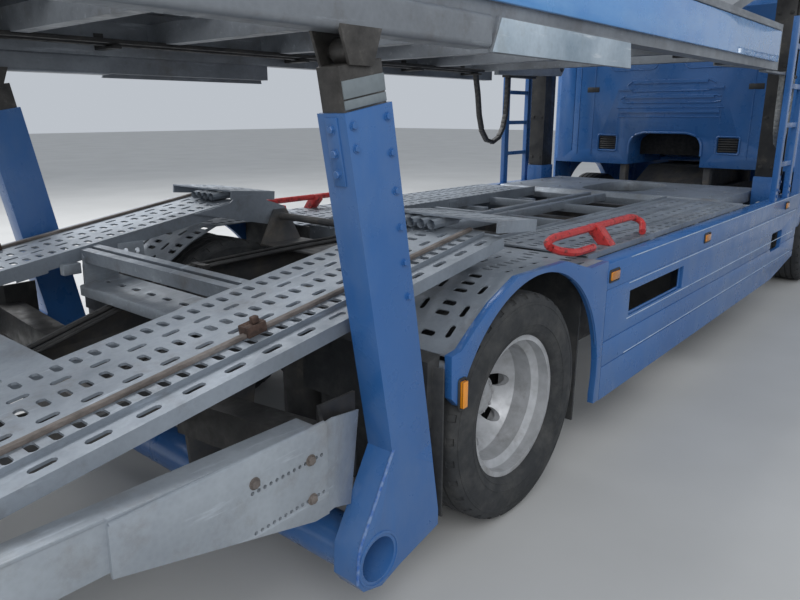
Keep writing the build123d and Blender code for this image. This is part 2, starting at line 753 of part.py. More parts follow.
with BuildPart() as tail_lamps:
    for hand, name in sides:
        with BuildSketch(across(platform_tail - 40)):
            with Locations((hand * (side - 275), 545)):
                Rectangle(400, 120)
        extrude(amount=-10)
tail_lamps.part.label = "tail_lamps"
export_step(tail_lamps.part, "parts/tail_lamps.step")


# Drawbar jaw under the tail, open to the rear, with its pin out
jaw_x = platform_tail + 40
jaw_z = 375
jaw_pin_radius = 25
jaw_gap = 70
with BuildPart() as coupling:
    with BuildSketch(upright(60)):
        with BuildLine():
            Polyline((jaw_x - 60, jaw_z + 75), (jaw_x - 60, jaw_z + jaw_gap / 2),
                     (jaw_x + 70, jaw_z + jaw_gap / 2),
                     (jaw_x + 70, jaw_z - jaw_gap / 2), (jaw_x - 60, jaw_z - jaw_gap / 2),
                     (jaw_x - 60, jaw_z - 75), (jaw_x + 110, jaw_z - 75),
                     (jaw_x + 110, jaw_z + 75), close=True)
        make_face()
    extrude(amount=120)
    with Locations((x_rear + jaw_x - 5, 0, jaw_z)):
        Cylinder(jaw_pin_radius, 200, mode=Mode.SUBTRACT)
    with BuildSketch(upright(150)):
        with Locations((jaw_x + 130, 470)):
            Rectangle(40, 340)
    extrude(amount=300)
coupling.part.label = "coupling"
export_step(coupling.part, "parts/coupling.step")


# Rear platform: two ribbed tracks on cross-members, hinged at its front
platform_run = (platform_front - platform_tail) / cos(radians(platform_slope))
# Cross-members of the rear platform: place ahead of the rear axle, length along the deck
platform_ties = ((-2480, 150), (-1650, 145), (-1170, 140), (-870, 34), (-815, 34))
tie_drop = 10
tie_height = 60
with BuildPart() as rear_platform:
    for hand, name in sides:
        with BuildSketch(across(platform_tail, platform_z(platform_tail), platform_slope)):
            with BuildLine():
                Polyline((hand * platform_inner, -60), (hand * platform_inner, 0), (hand * platform_rib, 0),
                         (hand * platform_rib, 11), (hand * (platform_rib + 15), 11),
                         (hand * (platform_rib + 15), 0), (hand * platform_step, 0),
                         (hand * platform_step, -15), (hand * platform_outer, -15),
                         (hand * platform_outer, -60), (hand * (platform_outer - deck_plate), -60),
                         (hand * (platform_outer - deck_plate), -15 - deck_plate),
                         (hand * (platform_step - deck_plate), -15 - deck_plate),
                         (hand * (platform_step - deck_plate), -deck_plate),
                         (hand * (platform_inner + deck_plate), -deck_plate),
                         (hand * (platform_inner + deck_plate), -60), close=True)
            make_face()
        extrude(amount=platform_run)
        # Hinge cheek inside each track, and the pin's boss
        with BuildSketch(upright(outer_y(hand, platform_inner - 12, 12))):
            with BuildLine():
                Polyline((-260, platform_z(-260) - 4), (platform_hinge_x - 40, platform_hinge_z - 50),
                         (platform_hinge_x + 50, platform_hinge_z - 40),
                         (platform_hinge_x + 50, platform_hinge_z + 50),
                         (platform_front + 40, 1215), (-40, platform_z(-40) - 4), close=True)
            make_face()
            with Locations((platform_hinge_x, platform_hinge_z)):
                Circle(hinge_pin_radius + pin_clearance, mode=Mode.SUBTRACT)
        extrude(amount=12)
        # Level flap at the nose, on a folded edge
        with BuildSketch(across(platform_front - 40, flap_level, flap_slope)):
            with BuildLine():
                Polyline((hand * (platform_inner - 12), -48), (hand * (platform_inner - 12), 0),
                         (hand * platform_outer, 0), (hand * platform_outer, -48),
                         (hand * (platform_outer - deck_plate), -48),
                         (hand * (platform_outer - deck_plate), -deck_plate),
                         (hand * (platform_inner - 12 + deck_plate), -deck_plate),
                         (hand * (platform_inner - 12 + deck_plate), -48), close=True)
            make_face()
        extrude(amount=flap_length)
    for place, tie_length in platform_ties:
        with BuildSketch(across(place, platform_z(place), platform_slope)):
            with Locations((0, -tie_drop - tie_height / 2)):
                Rectangle(2 * (platform_inner + 4), tie_height)
        extrude(amount=tie_length)
        with BuildSketch(across(place, platform_z(place), platform_slope).offset(deck_plate)):
            with Locations((0, -tie_drop - deck_plate - tie_height / 2)):
                Rectangle(2 * platform_inner, tie_height)
        extrude(amount=tie_length - 2 * deck_plate, mode=Mode.SUBTRACT)
rear_platform.part.label = "rear_platform"
export_step(rear_platform.part, "parts/rear_platform.step")


# Front masts behind the cab, on painted bases
with BuildPart() as mast_bases:
    for hand, name in sides:
        with BuildSketch(Plane.XY.offset(beam_bottom)):
            with Locations((x_rear + mast_x, hand * (mast_inner + mast_depth / 2))):
                Rectangle(mast_size + 30, mast_depth + 16)
        extrude(amount=mast_base_top - beam_bottom)
        with BuildSketch(across(mast_x - mast_size / 2)):
            with BuildLine():
                Polyline((hand * rail_y, 660), (hand * rail_y, 860),
                         (hand * (mast_inner + mast_depth), 860),
                         (hand * (mast_inner + mast_depth), 760), close=True)
            make_face()
        extrude(amount=mast_size)
mast_bases.part.label = "mast_bases"
export_step(mast_bases.part, "parts/mast_bases.step")

with BuildPart() as front_masts:
    for hand, name in sides:
        with BuildSketch(Plane.XY.offset(mast_base_top)):
            with Locations((x_rear + mast_x, hand * (mast_inner + mast_depth / 2))):
                Rectangle(mast_size, mast_depth)
        extrude(amount=mast_top - mast_base_top)
    for level, hole in ((upper_pivot_z, 30), (front_hinge_z, 30)):
        with BuildSketch(radial(mast_x, 0, level)):
            cylinder_section(hole, -mast_inner, -mast_inner + 115)
            cylinder_section(hole, mast_inner, mast_inner - 115)
        revolve(axis=axle_line(mast_x, 0, level))
    for hand, name in sides:
        with BuildSketch(upright(outer_y(hand, mast_inner, 24))):
            with BuildLine():
                Polyline((mast_x - 90, mast_top), (mast_x - 45, front_hinge_z + 40),
                         (mast_x + 45, front_hinge_z + 40),
                         (mast_x + 90, mast_top), close=True)
            make_face()
        extrude(amount=24)
front_masts.part.label = "front_masts"
export_step(front_masts.part, "parts/front_masts.step")


# Ladders up to the upper deck, one on each side ahead of its panels
ladder_stiles = (mast_x - 440, mast_x - 25)
ladder_top = 2330
rung_levels = (1245, 1545, 1835, 2125)
with BuildPart() as ladders:
    for hand, name in sides:
        for place in ladder_stiles:
            with BuildSketch(Plane.XY.offset(beam_top)):
                with Locations((x_rear + place, hand * (side - 26))):
                    Rectangle(70, 40)
            extrude(amount=ladder_top - beam_top)
        for level in rung_levels:
            with BuildSketch(across(ladder_stiles[0])):
                with Locations((hand * (side - 26), level)):
                    Rectangle(28, 36)
            extrude(amount=ladder_stiles[1] - ladder_stiles[0])
ladders.part.label = "ladders"
export_step(ladders.part, "parts/ladders.step")


# Red wheel stops: a bent tube standing along the outer edge of each forward track, on a clamp
stop_radius = 19
# Corners of the tube: place ahead of the rear axle, distance in from the track's edge, height above it
stop_corners = ((830, 25, 19), (640, 25, 19), (525, 60, 42), (505, 108, 68), (590, 120, 85),
                (1520, 120, 85),
                (1560, 75, 55), (1440, 25, 19))
with BuildPart() as wheel_stops:
    for hand, name in sides:
        corners = [(x_rear + place, hand * (track_outer - inset), deck_top + rise)
                   for place, inset, rise in stop_corners]
        with BuildLine():
            Polyline(*corners)
        with BuildSketch(Plane(origin=corners[0], z_dir=Vector(*corners[1]) - Vector(*corners[0]))):
            Circle(stop_radius)
        sweep(transition=Transition.RIGHT)
        with BuildSketch(across(1010)):
            with BuildLine():
                Polyline((hand * (track_outer - 15), deck_top), (hand * (track_outer - 95), deck_top + 100),
                         (hand * (track_outer - 145), deck_top + 100),
                         (hand * (track_outer - 145), deck_top + 60),
                         (hand * (track_outer - 85), deck_top), close=True)
            make_face()
        extrude(amount=70)
wheel_stops.part.label = "wheel_stops"
export_step(wheel_stops.part, "parts/wheel_stops.step")


# Upper deck frame: side beams, splice plates, cross-members and pivot arms
upper_tie_count = 8
upper_tie_spacing = (upper_front - 300 - upper_rear - 120) / (upper_tie_count - 1)
with BuildPart() as upper_frame:
    for hand, name in sides:
        with BuildSketch(across(upper_rear)):
            with BuildLine():
                Polyline((hand * upper_beam_inner, upper_beam_bottom + 95),
                         (hand * upper_beam_inner, upper_beam_top),
                         (hand * (side - panel_thickness), upper_beam_top),
                         (hand * (side - panel_thickness), upper_beam_bottom + 95), close=True)
            make_face()
            with BuildLine():
                Polyline((hand * (upper_beam_inner + 10), upper_beam_bottom + 105),
                         (hand * (upper_beam_inner + 10), upper_beam_top - 10),
                         (hand * (side - panel_thickness - 10), upper_beam_top - 10),
                         (hand * (side - panel_thickness - 10), upper_beam_bottom + 105), close=True)
            make_face(mode=Mode.SUBTRACT)
        extrude(amount=upper_front - upper_rear)
        with BuildSketch(across(upper_rear)):
            with Locations((hand * (side - 50), upper_beam_bottom + 52)):
                RectangleRounded(100, 104, 20)
        extrude(amount=splice_rear - upper_rear)
        with BuildSketch(upright(outer_y(hand, side - 14, 14))):
            with BuildLine():
                Polyline((splice_rear, upper_beam_bottom - 13), (splice_front, upper_beam_bottom - 13),
                         (splice_front - 20, upper_beam_bottom + 100),
                         (splice_rear + 40, upper_beam_bottom + 100),
                         close=True)
            make_face()
        extrude(amount=14)
        with BuildSketch(across(splice_rear)):
            with Locations((hand * (side - 47), upper_beam_bottom + 52)):
                Rectangle(66, 88)
        extrude(amount=splice_front - splice_rear)
        with BuildSketch(upright(outer_y(hand, mast_inner - 110, 40))):
            with BuildLine():
                Polyline((upper_front - 300, upper_pivot_z - 100), (mast_x, upper_pivot_z - 70),
                         (mast_x + 60, upper_pivot_z), (mast_x, upper_pivot_z + 70),
                         (upper_front - 300, upper_pivot_z + 80), close=True)
            make_face()
            with Locations((mast_x, upper_pivot_z)):
                Circle(30 + pin_clearance, mode=Mode.SUBTRACT)
        extrude(amount=40)
        for ear in (side - post_depth - 12, side - 10):
            with BuildSketch(upright(outer_y(hand, ear, 10))):
                with BuildLine():
                    Polyline((ram_head_x - 80, upper_beam_bottom + 15), (ram_head_x - 45, ram_head_z - 40),
                             (ram_head_x + 45, ram_head_z - 40), (ram_head_x + 80, upper_beam_bottom + 15),
                             close=True)
                make_face()
            extrude(amount=10)
        with BuildSketch(radial(ram_head_x, 0, ram_head_z)):
            cylinder_section(ram_pin_radius, hand * (side - post_depth - 12), hand * side)
        revolve(axis=axle_line(ram_head_x, 0, ram_head_z))
    for step in range(upper_tie_count):
        with BuildSketch(across(upper_rear + 120 + step * upper_tie_spacing)):
            with Locations((0, upper_track_top - 115)):
                Rectangle(2 * (upper_beam_inner + 2), 110)
        extrude(amount=80)
upper_frame.part.label = "upper_frame"
export_step(upper_frame.part, "parts/upper_frame.step")

with BuildPart() as upper_panels:
    for hand, name in sides:
        with BuildSketch(upright(outer_y(hand, side - panel_thickness, panel_thickness))):
            with BuildLine():
                Polyline((upper_rear, panel_bottom), (panel_front, panel_bottom), (panel_front, panel_top),
                         (upper_rear, panel_top), close=True)
            make_face()
        extrude(amount=panel_thickness)
upper_panels.part.label = "upper_panels"
export_step(upper_panels.part, "parts/upper_panels.step")

# Upper wheel tracks: level plates that climb forward from the ramp's start
with BuildPart() as upper_tracks:
    for hand, name in sides:
        with BuildSketch(upright(outer_y(hand, upper_track_inner, upper_track_outer - upper_track_inner))):
            climb = (upper_front - ramp_start) * tan(radians(ramp_slope))
            with BuildLine():
                Polyline((upper_rear, upper_track_top - 60), (upper_rear, upper_track_top),
                         (ramp_start, upper_track_top), (upper_front, upper_track_top + climb),
                         (upper_front, upper_track_top + climb - 60),
                         (ramp_start + 8, upper_track_top - 60), close=True)
            make_face()
        extrude(amount=upper_track_outer - upper_track_inner)
        with BuildSketch(upright(outer_y(hand, upper_track_inner + deck_plate,
                                         upper_track_outer - upper_track_inner - 2 * deck_plate))):
            with BuildLine():
                Polyline((upper_rear - 1, upper_track_top - 61),
                         (upper_rear - 1, upper_track_top - deck_plate),
                         (ramp_start, upper_track_top - deck_plate),
                         (upper_front + 1, upper_track_top + climb - deck_plate),
                         (upper_front + 1, upper_track_top + climb - 61),
                         (ramp_start + 8, upper_track_top - 61),
                         close=True)
            make_face()
        extrude(amount=upper_track_outer - upper_track_inner - 2 * deck_plate, mode=Mode.SUBTRACT)
upper_tracks.part.label = "upper_tracks"
export_step(upper_tracks.part, "parts/upper_tracks.step")


# Deck above the cab: side beams, cross-members and tracks, hinged on the mast heads
front_rise = (front_deck_bend - front_deck_rear) * tan(radians(ramp_slope))
tip_rise = (front_deck_tip - front_deck_bend) * tan(radians(front_deck_slope))
tip_level = front_deck_level + tip_rise


def front_deck_z(x):
    """Height of the front deck's track face at x."""
    slope = ramp_slope if x < front_deck_bend else front_deck_slope
    return front_deck_level + (x - front_deck_bend) * tan(radians(slope))


def front_deck_outline(top, depth):
    """Side view of the front deck between top and top less depth, measured from its track face."""
    return ((front_deck_rear, front_deck_level - front_rise + top),
            (front_deck_bend, front_deck_level + top),
            (front_deck_tip, tip_level + top), (front_deck_tip, tip_level + top - depth),
            (front_deck_bend, front_deck_level + top - depth),
            (front_deck_rear, front_deck_level - front_rise + top - depth))


with BuildPart() as front_deck:
    for hand, name in sides:
        with BuildSketch(upright(outer_y(hand, front_beam_inner, 100))):
            with BuildLine():
                Polyline(*front_deck_outline(30, 130), close=True)
            make_face()
        extrude(amount=100)
        with BuildSketch(upright(outer_y(hand, upper_track_inner, upper_track_outer - upper_track_inner))):
            with BuildLine():
                Polyline(*front_deck_outline(0, deck_plate), close=True)
            make_face()
        extrude(amount=upper_track_outer - upper_track_inner)
        with BuildSketch(upright(outer_y(hand, mast_inner - 70, 40))):
            with BuildLine():
                Polyline((mast_x - 50, front_hinge_z), (mast_x - 200, front_deck_z(mast_x - 200) - 2),
                         (mast_x + 200, front_deck_z(mast_x + 200) - 2),
                         (mast_x + 50, front_hinge_z), (mast_x, front_hinge_z - 45), close=True)
            make_face()
            with Locations((mast_x, front_hinge_z)):
                Circle(30 + pin_clearance, mode=Mode.SUBTRACT)
        extrude(amount=40)
    # Cross-members under the tracks, placed from the masts
    for offset_x in (-550, -20, 850, 1750, 2610):
        with BuildSketch(across(mast_x + offset_x)):
            with Locations((0, front_deck_z(mast_x + offset_x) - deck_plate / 2 - 35)):
                Rectangle(2 * (front_beam_inner + 2), 70)
        extrude(amount=70)
front_deck.part.label = "front_deck"
export_step(front_deck.part, "parts/front_deck.step")


# Cab body in side view, from the back wall over the roof and down the windscreen
cab_profile = ((cab_back, 560), (cab_back, 2560), (cab_back + 350, roof_height),
               (wheelbase + 760, roof_height - 30),
               (wheelbase + 900, 2560), (wheelbase + 1290, 1720), (wheelbase + 1370, 1240),
               (wheelbase + 1370, 560))
door_outline = ((wheelbase, 1135), (wheelbase, 2430), (wheelbase + 800, 2440), (wheelbase + 1100, 1960),
                (wheelbase + 1160, 1700), (wheelbase + 1160, 1135))
door_window = ((wheelbase + 100, 1760), (wheelbase + 100, 2340), (wheelbase + 760, 2350),
               (wheelbase + 1000, 1960),
               (wheelbase + 1040, 1760))


def cab_form(inset):
    """Body of the cab, shrunk by inset: its side profile across the width, with rounded corners."""
    half = cab_half - inset
    with BuildSketch(upright(half)) as profile:
        with BuildLine():
            Polyline(*cab_profile, close=True)
        make_face()
        if inset:
            offset(amount=-inset, mode=Mode.REPLACE)
    return profile.sketch


door_cut = 8
door_hinge_x = wheelbase + 1156
door_hinge_y = cab_half + 14
door_hinge_radius = 12
door_pin_radius = 6
door_hinge_levels = (1240, 1560)
door_barrel = 50
screen_width = 2 * (cab_half - 170)
screen_height = 720
screen_middle = 2120
screen_corner = 70
floor_thickness = 40
tunnel_half = 400
tunnel_top = 1480
tunnel_length = 900
with BuildPart() as cab_outside:
    extrude(cab_form(0), amount=2 * cab_half)
    fillet(cab_outside.edges().filter_by(Axis.Y, reverse=True), 100)
    with BuildSketch(upright(cab_half + 1)):
        with Locations((cab_back + 1300, 300)):
            Rectangle(3000, 640)
        with Locations((wheelbase, tyre_radius)):
            Circle(arch_radius)
    extrude(amount=2 * cab_half + 2, mode=Mode.SUBTRACT)

with BuildPart() as cab_cavity:
    extrude(cab_form(cab_wall), amount=2 * (cab_half - cab_wall))
    fillet(cab_cavity.edges().filter_by(Axis.Y, reverse=True), 45)

# Windscreen and rear-view openings, then the doorways
with BuildPart() as cab_shell:
    add(cab_outside.part)
    add(cab_cavity.part, mode=Mode.SUBTRACT)
    with BuildSketch(across(wheelbase + 850)):
        with Locations((0, screen_middle)):
            RectangleRounded(screen_width, screen_height, screen_corner)
    extrude(amount=560, mode=Mode.SUBTRACT)
    # Between the sides the cab ends at its floor, with an arched tunnel over the engine
    with BuildSketch(across(cab_back - 1)):
        with Locations((0, cab_floor_level / 2)):
            Rectangle(2 * (cab_half - cab_wall), cab_floor_level)
    extrude(amount=wheelbase + 1300 - cab_back, mode=Mode.SUBTRACT)
    with BuildSketch(across(cab_back + 1)):
        with Locations((0, cab_floor_level + floor_thickness / 2)):
            Rectangle(2 * (cab_half - cab_wall), floor_thickness)
    extrude(amount=wheelbase + 1300 - cab_back)
    with BuildSketch(across(cab_back)):
        with Locations((0, tunnel_top / 2)):
            RectangleRounded(2 * tunnel_half, tunnel_top, 130)
    extrude(amount=tunnel_length)
    with BuildSketch(across(cab_back - 1)):
        with Locations((0, tunnel_top / 2 - floor_thickness)):
            RectangleRounded(2 * (tunnel_half - floor_thickness), tunnel_top, 130)
    extrude(amount=tunnel_length + 2, mode=Mode.SUBTRACT)
    with BuildSketch(across(cab_back - 1)):
        with Locations((0, cab_floor_level / 2)):
            Rectangle(2 * (cab_half - cab_wall), cab_floor_level)
    extrude(amount=wheelbase + 1300 - cab_back, mode=Mode.SUBTRACT)
    # Pressed ribs across the back wall: half length, level, height
    for rib_half, level, height in ((360, 1930, 26), (430, 1790, 26), (490, 1650, 20)):
        with BuildSketch(across(cab_back + 1)):
            with Locations((0, level)):
                Rectangle(2 * rib_half, height)
        extrude(amount=-13)
    for hand, name in sides:
        with BuildSketch(across(cab_back + 1)):
            with Locations((hand * 435, 1866)):
                Rectangle(150, 22)
        extrude(amount=-13)
        with BuildSketch(across(cab_back - 1)):
            with Locations((hand * 595, 1342)):
                RectangleRounded(190, 140, 20)
        extrude(amount=26, mode=Mode.SUBTRACT)
        with BuildSketch(across(cab_back - 1)):
            with Locations((hand * (cab_half - 250), 1900)):
                Rectangle(8, 1300)
        extrude(amount=7, mode=Mode.SUBTRACT)
    for hand, name in sides:
        with BuildSketch(upright(outer_y(hand, cab_half - cab_wall - gap, cab_wall + gap + 1))):
            with BuildLine():
                Polyline(*door_outline, close=True)
            make_face()
        extrude(amount=cab_wall + gap + 1, mode=Mode.SUBTRACT)
        # Hinge pins of the door, held between two knuckles on the front pillar
        for level in door_hinge_levels:
            with BuildSketch(Plane.XY.offset(level)):
                with Locations((x_rear + door_hinge_x, hand * door_hinge_y)):
                    Circle(door_pin_radius)
            extrude(amount=2 * door_barrel)
            for knuckle_bottom in (level, level + 1.5 * door_barrel):
                with BuildSketch(Plane.XY.offset(knuckle_bottom)):
                    with Locations((x_rear + door_hinge_x, hand * door_hinge_y)):
                        Circle(door_hinge_radius)
                    with Locations((x_rear + door_hinge_x + 24, hand * (cab_half + 7))):
                        Rectangle(48, 14)
                extrude(amount=door_barrel / 2)
cab_shell.part.label = "cab_shell"
export_step(cab_shell.part, "parts/cab_shell.step")


# Windscreen glass, standing in its opening on the slope of the front
with BuildPart() as windscreen:
    with BuildSketch(upright(cab_half)):
        with BuildLine():
            Polyline((wheelbase + 1290 - 20, 1720), (wheelbase + 900 - 20, 2560),
                     (wheelbase + 900 - 30, 2560),
                     (wheelbase + 1290 - 30, 1720), close=True)
        make_face()
    extrude(amount=2 * cab_half)
    with BuildSketch(across(wheelbase + 850)):
        with Locations((0, screen_middle)):
            RectangleRounded(screen_width, screen_height, screen_corner)
    extrude(amount=560, mode=Mode.INTERSECT)
windscreen.part.label = "windscreen"
export_step(windscreen.part, "parts/windscreen.step")


# Doors: the piece of the wall inside the doorway, less the running gap, with its window cut
for hand, name in sides:
    with BuildPart() as door:
        add(cab_outside.part)
        add(cab_cavity.part, mode=Mode.SUBTRACT)
        with BuildSketch(upright(outer_y(hand, cab_half - cab_wall, cab_wall))):
            with BuildLine():
                Polyline(*door_outline, close=True)
            make_face()
            offset(amount=-door_cut, mode=Mode.REPLACE)
        extrude(amount=cab_wall, mode=Mode.INTERSECT)
        with BuildSketch(upright(cab_half + 1)):
            with BuildLine():
                Polyline(*door_window, close=True)
            make_face()
        extrude(amount=2 * cab_half + 2, mode=Mode.SUBTRACT)
        for level in door_hinge_levels:
            with BuildSketch(Plane.XY.offset(level + door_barrel / 2 + seat_gap)):
                with Locations((x_rear + door_hinge_x, hand * door_hinge_y)):
                    Circle(door_hinge_radius)
                with Locations((x_rear + door_hinge_x - 24, hand * (cab_half + 7))):
                    Rectangle(48, 14)
                with Locations((x_rear + door_hinge_x, hand * door_hinge_y)):
                    Circle(door_pin_radius + pin_clearance, mode=Mode.SUBTRACT)
            extrude(amount=door_barrel - 2 * seat_gap)
    door.part.label = f"door_{name}"
    export_step(door.part, f"parts/door_{name}.step")

    with BuildPart() as door_glass:
        with BuildSketch(upright(outer_y(hand, cab_half - 30, 6))):
            with BuildLine():
                Polyline(*door_window, close=True)
            make_face()
        extrude(amount=6)
    door_glass.part.label = f"door_glass_{name}"
    export_step(door_glass.part, f"parts/door_glass_{name}.step")


# Front bumper and lower panels beside the steps
with BuildPart() as bumper:
    with BuildSketch(upright(cab_half)):
        with BuildLine():
            Polyline((wheelbase + 690, 330), (wheelbase + 1380, 300), (wheelbase + 1400, 620),
                     (wheelbase + 690, 620), close=True)
        make_face()
    extrude(amount=2 * cab_half)
    fillet(bumper.edges().filter_by(Axis.Z), 60)
    with BuildSketch(Plane.XY.offset(200)):
        with Locations((x_front + 1000, 0)):
            Rectangle(700, 2 * cab_half - 360)
    extrude(amount=600, mode=Mode.SUBTRACT)
bumper.part.label = "bumper"
export_step(bumper.part, "parts/bumper.step")


# Grille panel with its bars across the front, between the headlamps
with BuildPart() as grille:
    for level in (700, 780, 860, 940, 1020, 1100, 1180):
        with BuildSketch(across(wheelbase + 1370)):
            with Locations((0, level)):
                Rectangle(2 * (cab_half - 420), 50)
        extrude(amount=18)
grille.part.label = "grille"
export_step(grille.part, "parts/grille.step")

with BuildPart() as headlamps:
    for hand, name in sides:
        with BuildSketch(across(wheelbase + 1370)):
            with Locations((hand * (cab_half - 230), 760)):
                RectangleRounded(300, 230, 40)
        extrude(amount=25)
headlamps.part.label = "headlamps"
export_step(headlamps.part, "parts/headlamps.step")


# Mirrors on arms ahead of the doors
mirror_arm_x = 1181
with BuildPart() as mirrors:
    for hand, name in sides:
        with BuildSketch(Plane.XY.offset(1640)):
            with Locations((x_front + 1220, hand * (cab_half + 145))):
                RectangleRounded(90, 190, 38)
        extrude(amount=560)
        for level in (1690, 2000):
            with BuildSketch(radial(wheelbase + mirror_arm_x, 0, level)):
                cylinder_section(14, hand * (cab_half if level < 1800 else cab_half + 20),
                                 hand * (cab_half + 70))
            revolve(axis=axle_line(wheelbase + mirror_arm_x, 0, level))
mirrors.part.label = "mirrors"
export_step(mirrors.part, "parts/mirrors.step")


# Dashboard, seats, bunk and steering wheel, which show through the glass
wheel_tilt = radians(35)
seat_floor = cab_floor_level + floor_thickness
bunk_gap = 40
with BuildPart() as cab_interior:
    with BuildSketch(upright(cab_half - 160)):
        with BuildLine():
            Polyline((wheelbase + 780, seat_floor), (wheelbase + 1230, seat_floor),
                     (wheelbase + 1200, 1740),
                     (wheelbase + 900, 1700), (wheelbase + 740, 1560), close=True)
        make_face()
    extrude(amount=2 * (cab_half - 160))
    for hand, name in sides:
        with BuildSketch(upright(outer_y(hand, cab_half - 810, 500))):
            with BuildLine():
                Polyline((wheelbase + 40, seat_floor), (wheelbase + 460, seat_floor),
                         (wheelbase + 560, 1620),
                         (wheelbase + 110, 1610), (wheelbase - 30, 2330), (wheelbase - 160, 2330),
                         (wheelbase - 60, 1500), close=True)
            make_face()
        extrude(amount=500)
    with BuildSketch(upright(cab_half - cab_wall - bunk_gap)):
        with Locations((cab_back + cab_wall + 310, tunnel_top + 80)):
            RectangleRounded(580, 160, 50)
    extrude(amount=2 * (cab_half - cab_wall - bunk_gap))
    rim_plane = Plane(origin=(x_front + 700, cab_half - 560, 1810), x_dir=(0, 1, 0),
                      z_dir=(-sin(wheel_tilt), 0, cos(wheel_tilt)))
    with BuildSketch(rim_plane):
        Circle(225)
        Circle(197, mode=Mode.SUBTRACT)
        Rectangle(400, 34)
        Circle(60)
    extrude(amount=14, both=True)
    with BuildSketch(rim_plane):
        Circle(35)
    extrude(amount=-300)
cab_interior.part.label = "cab_interior"
export_step(cab_interior.part, "parts/cab_interior.step")


# Amber marker lamps along the side beams and on the wings
with BuildPart() as side_lamps:
    for hand, name in sides:
        for place in (skirt_start + 68, 2147, mast_x - 50):
            with BuildSketch(upright(outer_y(hand, side, 12))):
                with Locations((place, (beam_top + beam_bottom) / 2)):
                    Rectangle(90, 40)
            extrude(amount=12)
        with BuildSketch(upright(outer_y(hand, side, 18))):
            with Locations((-440, 680)):
                Rectangle(30, 100)
        extrude(amount=18)
side_lamps.part.label = "side_lamps"
export_step(side_lamps.part, "parts/side_lamps.step")
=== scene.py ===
import bpy
from math import atan, cos, hypot, pi, radians, sin, tan
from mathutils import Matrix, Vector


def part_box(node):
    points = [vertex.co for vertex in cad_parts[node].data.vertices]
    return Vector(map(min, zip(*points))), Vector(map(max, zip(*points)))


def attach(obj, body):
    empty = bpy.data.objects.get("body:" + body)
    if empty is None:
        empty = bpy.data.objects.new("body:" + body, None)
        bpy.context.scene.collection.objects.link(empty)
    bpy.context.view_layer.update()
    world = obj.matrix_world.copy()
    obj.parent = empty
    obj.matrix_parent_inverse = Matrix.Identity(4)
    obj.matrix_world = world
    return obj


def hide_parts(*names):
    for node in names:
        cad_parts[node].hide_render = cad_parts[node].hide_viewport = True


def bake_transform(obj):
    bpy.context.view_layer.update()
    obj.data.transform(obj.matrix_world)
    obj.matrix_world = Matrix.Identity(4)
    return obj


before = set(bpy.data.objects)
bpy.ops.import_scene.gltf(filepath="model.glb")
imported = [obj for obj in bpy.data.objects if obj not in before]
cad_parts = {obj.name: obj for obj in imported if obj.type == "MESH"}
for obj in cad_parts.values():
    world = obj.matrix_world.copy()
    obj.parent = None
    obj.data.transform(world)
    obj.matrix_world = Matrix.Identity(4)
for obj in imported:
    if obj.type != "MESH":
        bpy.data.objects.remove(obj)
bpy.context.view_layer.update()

# Camera: it stands behind the right rear corner at head height and looks forward
# across the rear platform towards the cab, as the photograph's did.
bpy.ops.object.camera_add(location=(-4.491, -2.588, 1.632), rotation=(radians(75.01), 0, radians(-49.57)))
camera = bpy.context.object
camera.data.lens = 31.33
camera.data.sensor_width = 36
camera.data.clip_end = 200
bpy.context.scene.camera = camera
bpy.context.scene.view_settings.view_transform = "Standard"


# Floor and light: a plain pale floor, a broad soft lamp over the left side and a weaker
# one behind the camera, in a pale even surround.
def new_material(name, roughness=0.5, metallic=0.0):
    """Empty node material with its shader's plain settings."""
    material = bpy.data.materials.new(name)
    material.use_nodes = True
    tree = material.node_tree
    shader = tree.nodes["Principled BSDF"]
    shader.inputs["Roughness"].default_value = roughness
    shader.inputs["Metallic"].default_value = metallic
    return material, tree, shader


def noise(tree, scale, detail=4.0, rough=0.55, stretch=(1, 1, 1)):
    """Noise over the piece in features per metre, stretched where a run or a streak follows an axis."""
    place = tree.nodes.new("ShaderNodeTexCoord")
    mapping = tree.nodes.new("ShaderNodeMapping")
    mapping.inputs["Scale"].default_value = stretch
    texture = tree.nodes.new("ShaderNodeTexNoise")
    texture.inputs["Scale"].default_value = scale
    texture.inputs["Detail"].default_value = detail
    texture.inputs["Roughness"].default_value = rough
    tree.links.new(place.outputs["Object"], mapping.inputs["Vector"])
    tree.links.new(mapping.outputs["Vector"], texture.inputs["Vector"])
    return texture.outputs["Fac"]


def ramp(tree, factor, *stops):
    """Colour ramp over a factor: each stop is a place and a colour or grey."""
    node = tree.nodes.new("ShaderNodeValToRGB")
    elements = node.color_ramp.elements
    while len(elements) < len(stops):
        elements.new(0.5)
    for element, (position, colour) in zip(elements, stops):
        element.position = position
        element.color = (*colour, 1) if isinstance(colour, tuple) else (colour, colour, colour, 1)
    tree.links.new(factor, node.inputs["Fac"])
    return node.outputs["Color"]


def mix(tree, factor, first, second, way="MIX"):
    """Mix of two colours by a factor, either of which may be plain."""
    node = tree.nodes.new("ShaderNodeMix")
    node.data_type = "RGBA"
    node.blend_type = way
    for name, value in (("Factor", factor), ("A", first), ("B", second)):
        socket = node.inputs[name]
        if isinstance(value, tuple):
            socket.default_value = (*value, 1)
        elif isinstance(value, (int, float)):
            socket.default_value = value
        else:
            tree.links.new(value, socket)
    return node.outputs["Result"]


def grain(tree, shader, height, strength, distance):
    """Surface relief from a height, in metres."""
    node = tree.nodes.new("ShaderNodeBump")
    node.inputs["Strength"].default_value = strength
    node.inputs["Distance"].default_value = distance
    tree.links.new(height, node.inputs["Height"])
    tree.links.new(node.outputs["Normal"], shader.inputs["Normal"])


